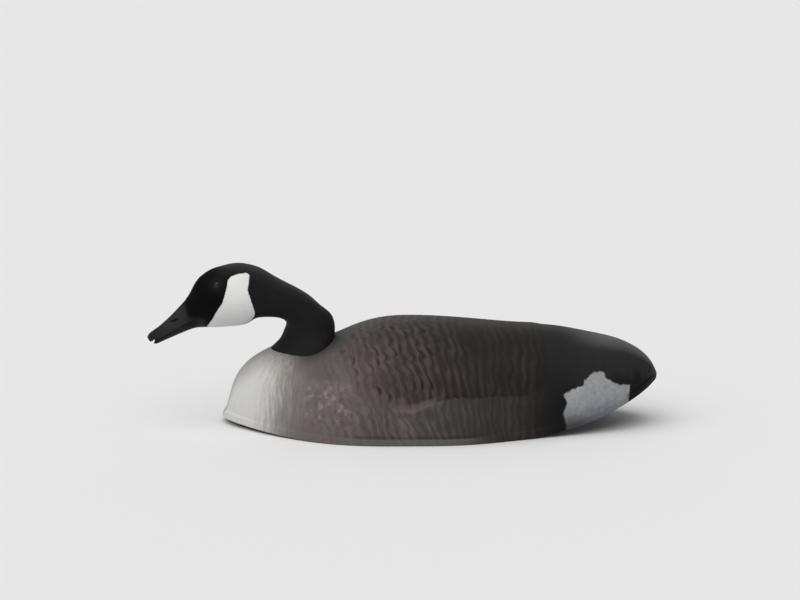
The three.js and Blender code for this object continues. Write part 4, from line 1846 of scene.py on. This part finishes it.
@dataclass
class HeadAndNeck:
    """The moulded head and neck, with bill, nostrils, mouth, eyelids and the spigot below."""

    form: HeadForm
    skin_below: BVHTree
    shift_back: float
    gap: float = 0.3
    rings: int = 400
    ring_samples: int = 2001
    sides: int = 144
    foot_reach: float = 0.14
    halvings: int = 22
    out_of_reach: float = 400.0
    gap_top: Pair = (-88.0, 109.0)
    gap_lean: float = math.radians(29.0)
    gap_half: Pair = (0.5, 0.14)
    nail_from: float = -90.6
    nail_lift: float = 1.7
    nail_at: float = -84.0
    nail_proud: float = 0.25
    mouth_turn: float = math.radians(115.7)
    mouth_groove: float = 1.3
    mouth_half: float = 0.75
    jaw_set_in: float = 0.45
    jaw_fade: float = 5.0
    bill_proud: float = 0.35
    cheek_proud: float = 0.2
    eye_along: float = 0.537
    eye_turn: float = math.radians(59.0)
    eye_radius: float = 5.0
    eye_sunk: float = 3.0
    lid_proud: float = 0.55
    lid_half: float = 0.8
    hollow_depth: float = 0.45
    hollow_reach: float = 8.5
    hollow_half: float = 2.0
    nostril_along: float = 0.812
    nostril_turn: float = math.radians(62.0)
    nostril_length: float = 13.0
    nostril_height: float = 4.2
    nostril_depth: float = 1.6
    nostril_softness: float = 1.25
    nostril_rim: float = 0.35
    nostril_rim_at: float = 1.45
    nostril_rim_half: float = 0.25
    spigot_top_rows: tuple = (0.25, 0.5, 0.75, 1.0)
    spigot_foot_rows: tuple = ((0.0, 1.2), (-0.35, 0.35), (-1.2, 0.0), (-6.0, 0.0), (-6.8, 0.8),
                               (-7.5, 3.0))
    sharp_above: float = 50.0

    def skin_height(self, points: Array) -> Array:
        """Gives the height of the body's skin.

        Args:
            points: The points that it lies under.

        Returns:
            The height under each, or far below where there is no skin.
        """
        heights = []
        for x, y in points.reshape(-1, 3)[:, :2]:
            start = Vector((x, y, self.out_of_reach))
            hit = self.skin_below.ray_cast(start, Vector((0.0, 0.0, -1.0)))[0]
            heights.append(hit.z if hit is not None else -self.out_of_reach)
        return np.array(heights).reshape(points.shape[:-1])

    def foot_places(self, turn: Array) -> Array:
        """Finds where each line of the neck meets the body.

        Args:
            turn: The lines' angles round the sections.

        Returns:
            Their places along the sections.
        """
        low, high = np.zeros(len(turn)), np.full(len(turn), self.foot_reach)
        for _ in range(self.halvings):
            middle = (low + high) / 2.0
            points = self.form.skin(middle, turn)
            above = points[:, 2] > self.skin_height(points) + self.gap
            high = np.where(above, middle, high)
            low = np.where(above, low, middle)
        return (low + high) / 2.0

    def ring_shares(self) -> Array:
        """Spreads the rings evenly, but closer on the head and closest at the bill's tip.

        Returns:
            Each ring's share of the way to the bill's tip.
        """
        fine = np.linspace(0.0, 1.0, self.ring_samples)
        step = sum(
            np.linalg.norm(np.diff(self.form.skin(fine, np.array(turn)), axis=0), axis=1)
            for turn in (0.0, math.pi)
        )
        weight = 1.0 + 0.8 * soft(fine, 0.4, 0.55) + 3.0 * soft(fine, 0.92, 0.96)
        length = np.append(0.0, np.cumsum(step * weight[1:]))
        return np.interp(np.linspace(0.0, length[-1], self.rings + 1), length, fine)

    def eye_frame(self, side: Side) -> tuple[Array, Array]:
        """Gives an eye's centre and the unit direction in which it looks."""
        point, _, _, out = self.form.tangents(self.eye_along, -side.value * self.eye_turn)
        return point - out * self.eye_sunk, out

    def build(self, shift: Array, finish: Material) -> Object:
        """Makes the head and neck.

        Args:
            shift: What takes bench places to the row frame.
            finish: The paint.

        Returns:
            The object.
        """
        form = self.form
        turn = np.linspace(0.0, 2.0 * math.pi, self.sides, endpoint=False)
        foot = self.foot_places(turn)
        along = between(foot[None, :], 1.0, self.ring_shares()[:, None])
        turns = np.broadcast_to(turn, along.shape)
        bare = form.skin(along, turns)
        wrapped = np.concatenate((bare[:, -1:], bare, bare[:, :1]), axis=1)
        normal = -grid_normals(wrapped)[:, 1:-1]
        outward = np.sum(normal * (bare - form.section(along)[0]), axis=-1, keepdims=True)
        normal = normal * np.where(outward < 0.0, -1.0, 1.0)
        carved, marks = self.carve(bare, along, turns, normal)

        draft = Draft()
        numbers = draft.add(carved)
        for name, values in marks.items():
            draft.store(name, numbers, values)
        ring = looped(numbers)
        draft.sheet(ring, Coat.PAINT)
        tip = draft.add(form.section(np.array([1.0]))[0])[0]
        draft.fan(tip, ring[-1], Coat.PAINT)
        self._spigot(draft, bare[0], numbers[0])
        return draft.build(HEAD_NODE + "_carved", shift, [finish], self.sharp_above)

    def carve(self, bare: Array, along: Array, turns: Array,
              normal: Array) -> tuple[Array, dict[str, Array]]:
        """Carves the bill, mouth, nostrils, eyelids and cheeks.

        Args:
            bare: The plain form's points.
            along: Their places along the sections.
            turns: Their angles round the sections.
            normal: Their outward directions.

        Returns:
            The carved points, and the numbers that the paint needs.
        """
        run, around = lengths_along(bare, 0), lengths_along(bare, 1)
        girth = around[:, -1:]
        behind, height = bare[..., 0], bare[..., 2]
        half_turn = np.where(turns > math.pi, 2.0 * math.pi - turns, turns)
        bill_depth = depth_inside(behind, height, BILL_SIDE)
        cheek_depth = depth_inside(behind, height, CHEEK_PATCH)

        on_bill = soft(along, self.form.bill_from, self.form.bill_from + 0.05)
        from_mouth = np.abs(half_turn - self.mouth_turn) / math.pi * girth / 2.0
        mouth = bell(from_mouth, 0.0, self.mouth_half) * on_bill
        lower_jaw = soft(half_turn, self.mouth_turn, self.mouth_turn + 0.12) * on_bill
        move = -self.mouth_groove * mouth
        move = move - self.jaw_set_in * lower_jaw * np.exp(-from_mouth / self.jaw_fade)
        move = move + self.bill_proud * soft(bill_depth, 0.5, -0.5) * soft(along, 0.6, 0.62)
        move = move + self.cheek_proud * (soft(cheek_depth, -0.75, 0.75) - 0.5)
        nail = soft(behind, self.nail_at, self.nail_at - 0.8) * soft(half_turn, 1.1, 0.95)
        move = move + self.nail_proud * nail

        nostril, by_eye = np.zeros(bare.shape[:2]), np.zeros(bare.shape[:2])
        for side in Side:
            off_nostril, off_eye = self._off_marks(bare, side)
            opening = smoothstep(self.nostril_softness - off_nostril)
            rim = bell(off_nostril, self.nostril_rim_at, self.nostril_rim_half)
            lid = bell(off_eye, self.eye_radius, self.lid_half)
            hollow = bell(off_eye, self.hollow_reach, self.hollow_half)
            move = move - self.nostril_depth * opening + self.nostril_rim * rim
            move = move + self.lid_proud * lid - self.hollow_depth * hollow
            nostril = nostril + opening
            by_eye = by_eye + bell(off_eye, 0.0, self.hollow_reach)

        # Painted shade on the lower jaw; the bill is also darker at its base, near the brow, along
        # its top ridge and towards its tip.
        bill_light = (1.0 - 0.42 * lower_jaw) * (1.0 - 0.5 * soft(behind, -52.0, -38.0))
        at_brow = soft(behind, -62.0, -50.0) * soft(height, 145.0, 151.0)
        bill_light = bill_light * (1.0 - 0.2 * at_brow) * (1.0 - 0.25 * soft(half_turn, 0.8, 0.3))
        bill_light = bill_light * (1.0 - 0.4 * soft(behind, -66.0, -88.0))
        # down_neck, crown and ridge place painted sheen, by_eye a painted highlight round the eye,
        # and chin painted shade on the cheek.
        marks = {
            "run": run,
            "around": np.minimum(around, girth - around),
            "down_neck": soft(along, 0.56, 0.36),
            "crown": soft(half_turn, 1.0, 0.5) * soft(along, 0.15, 0.27) * soft(along, 0.57, 0.47),
            "cheek_depth": cheek_depth,
            "bill_depth": bill_depth,
            "nostril": nostril,
            "mouth": mouth,
            "ridge": soft(half_turn, 0.62, 0.22),
            "bill_light": bill_light,
            "by_eye": by_eye,
            "chin": soft(height, 176.0, 132.0),
        }
        fade = soft(along, 1.0, 0.98) * soft(run, 0.0, 6.0)
        carved = bare + normal * (move * fade)[..., None]
        carved[..., ::2] += self._part_tip(behind, height, half_turn, along)
        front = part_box(HEAD_NODE)[0].x / MILLIMETRE - self.shift_back
        carved[..., 0] = np.maximum(carved[..., 0], front)
        return carved, marks

    def _off_marks(self, bare: Array, side: Side) -> tuple[Array, Array]:
        """Measures how far the skin lies from one side's nostril and eye.

        Args:
            bare: The plain form's points.
            side: Which side.

        Returns:
            The distances from the nostril, in shares of its size, and from the line on which the
            eye looks. Both are large on the other side.
        """
        on_side = np.sign(bare[..., 1]) == side.value
        point, along_way, around_way, _ = self.form.tangents(
            self.nostril_along, -side.value * self.nostril_turn)
        away = bare - point
        long = np.sum(away * along_way, axis=-1) / (self.nostril_length / 2.0)
        wide = np.sum(away * around_way, axis=-1) / (self.nostril_height / 2.0)
        centre, look = self.eye_frame(side)
        away = bare - centre
        off = np.linalg.norm(away - np.sum(away * look, axis=-1, keepdims=True) * look, axis=-1)
        return np.where(on_side, np.hypot(long, wide), 9.0), np.where(on_side, off, 99.0)

    def _part_tip(self, behind: Array, height: Array, half_turn: Array, along: Array) -> Array:
        """Hooks the upper bill's nail and parts it from the lower bill by a slanting gap.

        Args:
            behind: Each point's distance behind the breast's tip.
            height: Its height.
            half_turn: Its angle from the crown.
            along: Its place along the sections.

        Returns:
            How far each point moves back and up.
        """
        below = soft(half_turn, self.mouth_turn, self.mouth_turn + 0.35)
        lift = self.nail_lift * soft(behind, self.nail_from, self.nail_from - 1.5) * below
        lean = np.array([math.sin(self.gap_lean), math.cos(self.gap_lean)])
        back, over = behind - self.gap_top[0], height + lift - self.gap_top[1]
        short = np.maximum(-(back * lean[0] + over * lean[1]), 0.0)
        across = (back * lean[1] - over * lean[0]) / (self.gap_half[0] + self.gap_half[1] * short)
        gap = short * np.exp(-(across ** 4)) * soft(along, 0.9, 0.94)
        return np.stack((gap * lean[0], lift + gap * lean[1]), axis=-1)

    def _spigot(self, draft: Draft, foot: Array, numbers: Array) -> None:
        """Closes the neck's foot and carries the spigot down from it.

        Args:
            draft: The piece.
            foot: The points of the neck's edge on the body.
            numbers: Their numbers.
        """
        socket = self.form.socket
        x, y, _ = socket.from_bench(foot)
        turn = np.arctan2(y, x)
        edge = socket.ring(turn, -socket.play, np.zeros(len(turn)))
        rings = [numbers]
        for share in self.spigot_top_rows:
            middle = between(foot, edge, share)
            middle[:, 2] = self.skin_height(middle) + self.gap
            rings.append(draft.add(middle))
        rings += draft.rings(socket, turn, [
            (grow - socket.play, up - socket.spigot_depth) for grow, up in self.spigot_foot_rows
        ])
        for first, second in zip(rings, rings[1:]):
            draft.band(first, second, Coat.PAINT, closed=True)
        dish = self.spigot_foot_rows[-1][1] - socket.spigot_depth
        bottom = draft.add(socket.to_bench(np.array([0.0]), np.array([0.0]), np.array([dish])))
        draft.fan(bottom[0], looped(rings[-1]), Coat.PAINT)


@dataclass
class Eye:
    """One glossy eye, a ball sunk in the head."""

    head: HeadAndNeck
    side: Side
    rings: int = 28
    sides: int = 48
    fullness: float = 0.03
    sharp_above: float = 60.0

    def build(self, shift: Array, finish: Material) -> Object:
        """Makes the eye.

        Args:
            shift: What takes bench places to the row frame.
            finish: The gloss.

        Returns:
            The object.
        """
        centre, look = self.head.eye_frame(self.side)
        across = unit(np.cross(look, np.array([0.0, 0.0, 1.0])))
        over = np.cross(across, look)
        lean = np.linspace(0.0, math.pi, self.rings + 1)[1:-1, None]
        turn = np.linspace(0.0, 2.0 * math.pi, self.sides, endpoint=False)[None, :]
        # The front is a little fuller than a ball, as a clear cornea is.
        radius = self.head.eye_radius * (1.0 - self.fullness * np.sin(2.0 * lean) ** 2)
        out = (radius * np.cos(lean))[..., None] * look
        round_way = np.cos(turn)[..., None] * across + np.sin(turn)[..., None] * over
        ball = centre + out + (radius * np.sin(lean))[..., None] * round_way
        off_middle = np.sin(lean) + (lean > QUARTER_TURN)

        draft = Draft()
        numbers = draft.add(ball)
        draft.store("off_middle", numbers, np.broadcast_to(off_middle, ball.shape[:2]))
        poles = draft.add(centre + np.outer((1.0, -1.0), look * self.head.eye_radius))
        ring = looped(numbers)
        draft.sheet(ring, Coat.PAINT)
        for end in (0, 1):
            draft.fan(poles[end], ring[-end], Coat.PAINT)
        return draft.build(f"eye_{self.side.name.lower()}", shift, [finish], self.sharp_above)


@dataclass(frozen=True)
class Lamp:
    """A broad far lamp: how strong it is, how wide it looks, and its turns in degrees."""

    name: str
    strength: float
    spread: float
    tilt: Pair

    def build(self) -> None:
        """Makes the lamp, turned about the decoy's length and then about its width."""
        lamp = bpy.data.lights.new(self.name, "SUN")
        lamp.energy = self.strength
        lamp.angle = math.radians(self.spread)
        holder = bpy.data.objects.new(self.name, lamp)
        holder.rotation_euler = (*(math.radians(turn) for turn in self.tilt), 0.0)
        bpy.context.scene.collection.objects.link(holder)


@dataclass
class Studio:
    """The pale floor, the soft light and the camera."""

    floor_reach: float = 30.0
    floor_tone: Colour = (0.89, 0.89, 0.89)
    camera_distance: float = 4.0
    camera_elevation: float = math.radians(12.0)
    aim: tuple[float, float, float] = (-0.003, 0.0, 0.1598)
    lens: float = 139.5
    sensor_width: float = 36.0
    camera_reach: float = 200.0
    lamps: tuple[Lamp, ...] = (
        Lamp("overhead", 1.93, 85.0, (18.0, -16.0)), Lamp("behind", 0.28, 45.0, (-66.0, 0.0)))
    sky_strength: float = 0.3

    def build(self) -> None:
        """Makes the floor, the lights and the camera."""
        self._floor()
        self._light()
        self._camera()

    def _floor(self) -> None:
        """Makes the floor."""
        bench = Bench("floor_paper")
        fibre = bench.noise(bench.place(), 60.0, 2.0, 0.5)
        finish = bench.finish(self.floor_tone, 0.9 + fibre * 0.05, Specular_IOR_Level=0.0)
        mesh = bpy.data.meshes.new("floor")
        reach = self.floor_reach
        corners = [(x * reach, y * reach, 0.0) for x, y in ((-1, -1), (1, -1), (1, 1), (-1, 1))]
        mesh.from_pydata(corners, [], [(0, 1, 2, 3)])
        mesh.materials.append(finish)
        floor = bpy.data.objects.new("floor", mesh)
        bpy.context.scene.collection.objects.link(floor)

    def _light(self) -> None:
        """Makes the even sky, the broad overhead light and a weak light from behind."""
        scene = bpy.context.scene
        world = bpy.data.worlds.new("studio_sky")
        world.use_nodes = True
        sky = world.node_tree.nodes["Background"]
        sky.inputs["Color"].default_value = (1.0, 1.0, 1.0, 1.0)
        sky.inputs["Strength"].default_value = self.sky_strength
        scene.world = world
        for lamp in self.lamps:
            lamp.build()
        scene.view_settings.view_transform = "Standard"

    def _camera(self) -> None:
        """Makes the camera and looks through it."""
        scene = bpy.context.scene
        data = bpy.data.cameras.new("camera")
        data.lens = self.lens
        data.sensor_width = self.sensor_width
        data.clip_end = self.camera_reach
        camera = bpy.data.objects.new("camera", data)
        back = Vector((0.0, -math.cos(self.camera_elevation), math.sin(self.camera_elevation)))
        camera.location = Vector(self.aim) + back * self.camera_distance
        camera.rotation_euler = (QUARTER_TURN - self.camera_elevation, 0.0, 0.0)
        scene.collection.objects.link(camera)
        scene.camera = camera


def place_piece(piece: Object, node: str) -> None:
    """Rides a piece on the decoy, in the place of a solid, which it hides.

    Args:
        piece: The piece.
        node: The solid that it stands for.
    """
    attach(piece, ROOT)
    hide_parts(node)
    LOG.info("%s: %d faces, for %s", piece.name, len(piece.data.polygons), node)


def main() -> None:
    logging.basicConfig(level=logging.INFO, format="%(name)s %(message)s")
    Studio().build()
    form = BodyForm()
    tail_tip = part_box(SHELL_NODE)[1].x / MILLIMETRE
    shift = np.array([tail_tip - form.length, 0.0, 0.0])
    shell = Shell(form, FeatherChart(form))
    place_piece(shell.build(shift, [PlumagePaint().material(), BarePlastic().material()]),
                SHELL_NODE)
    head = HeadAndNeck(HeadForm(form.socket), shell.skin_tree(), float(shift[0]))
    place_piece(head.build(shift, HeadPaint().material()), HEAD_NODE)
    gloss = EyeGlass().material()
    for side in Side:
        place_piece(Eye(head, side).build(shift, gloss), HEAD_NODE)


if __name__ == "__main__":
    main()
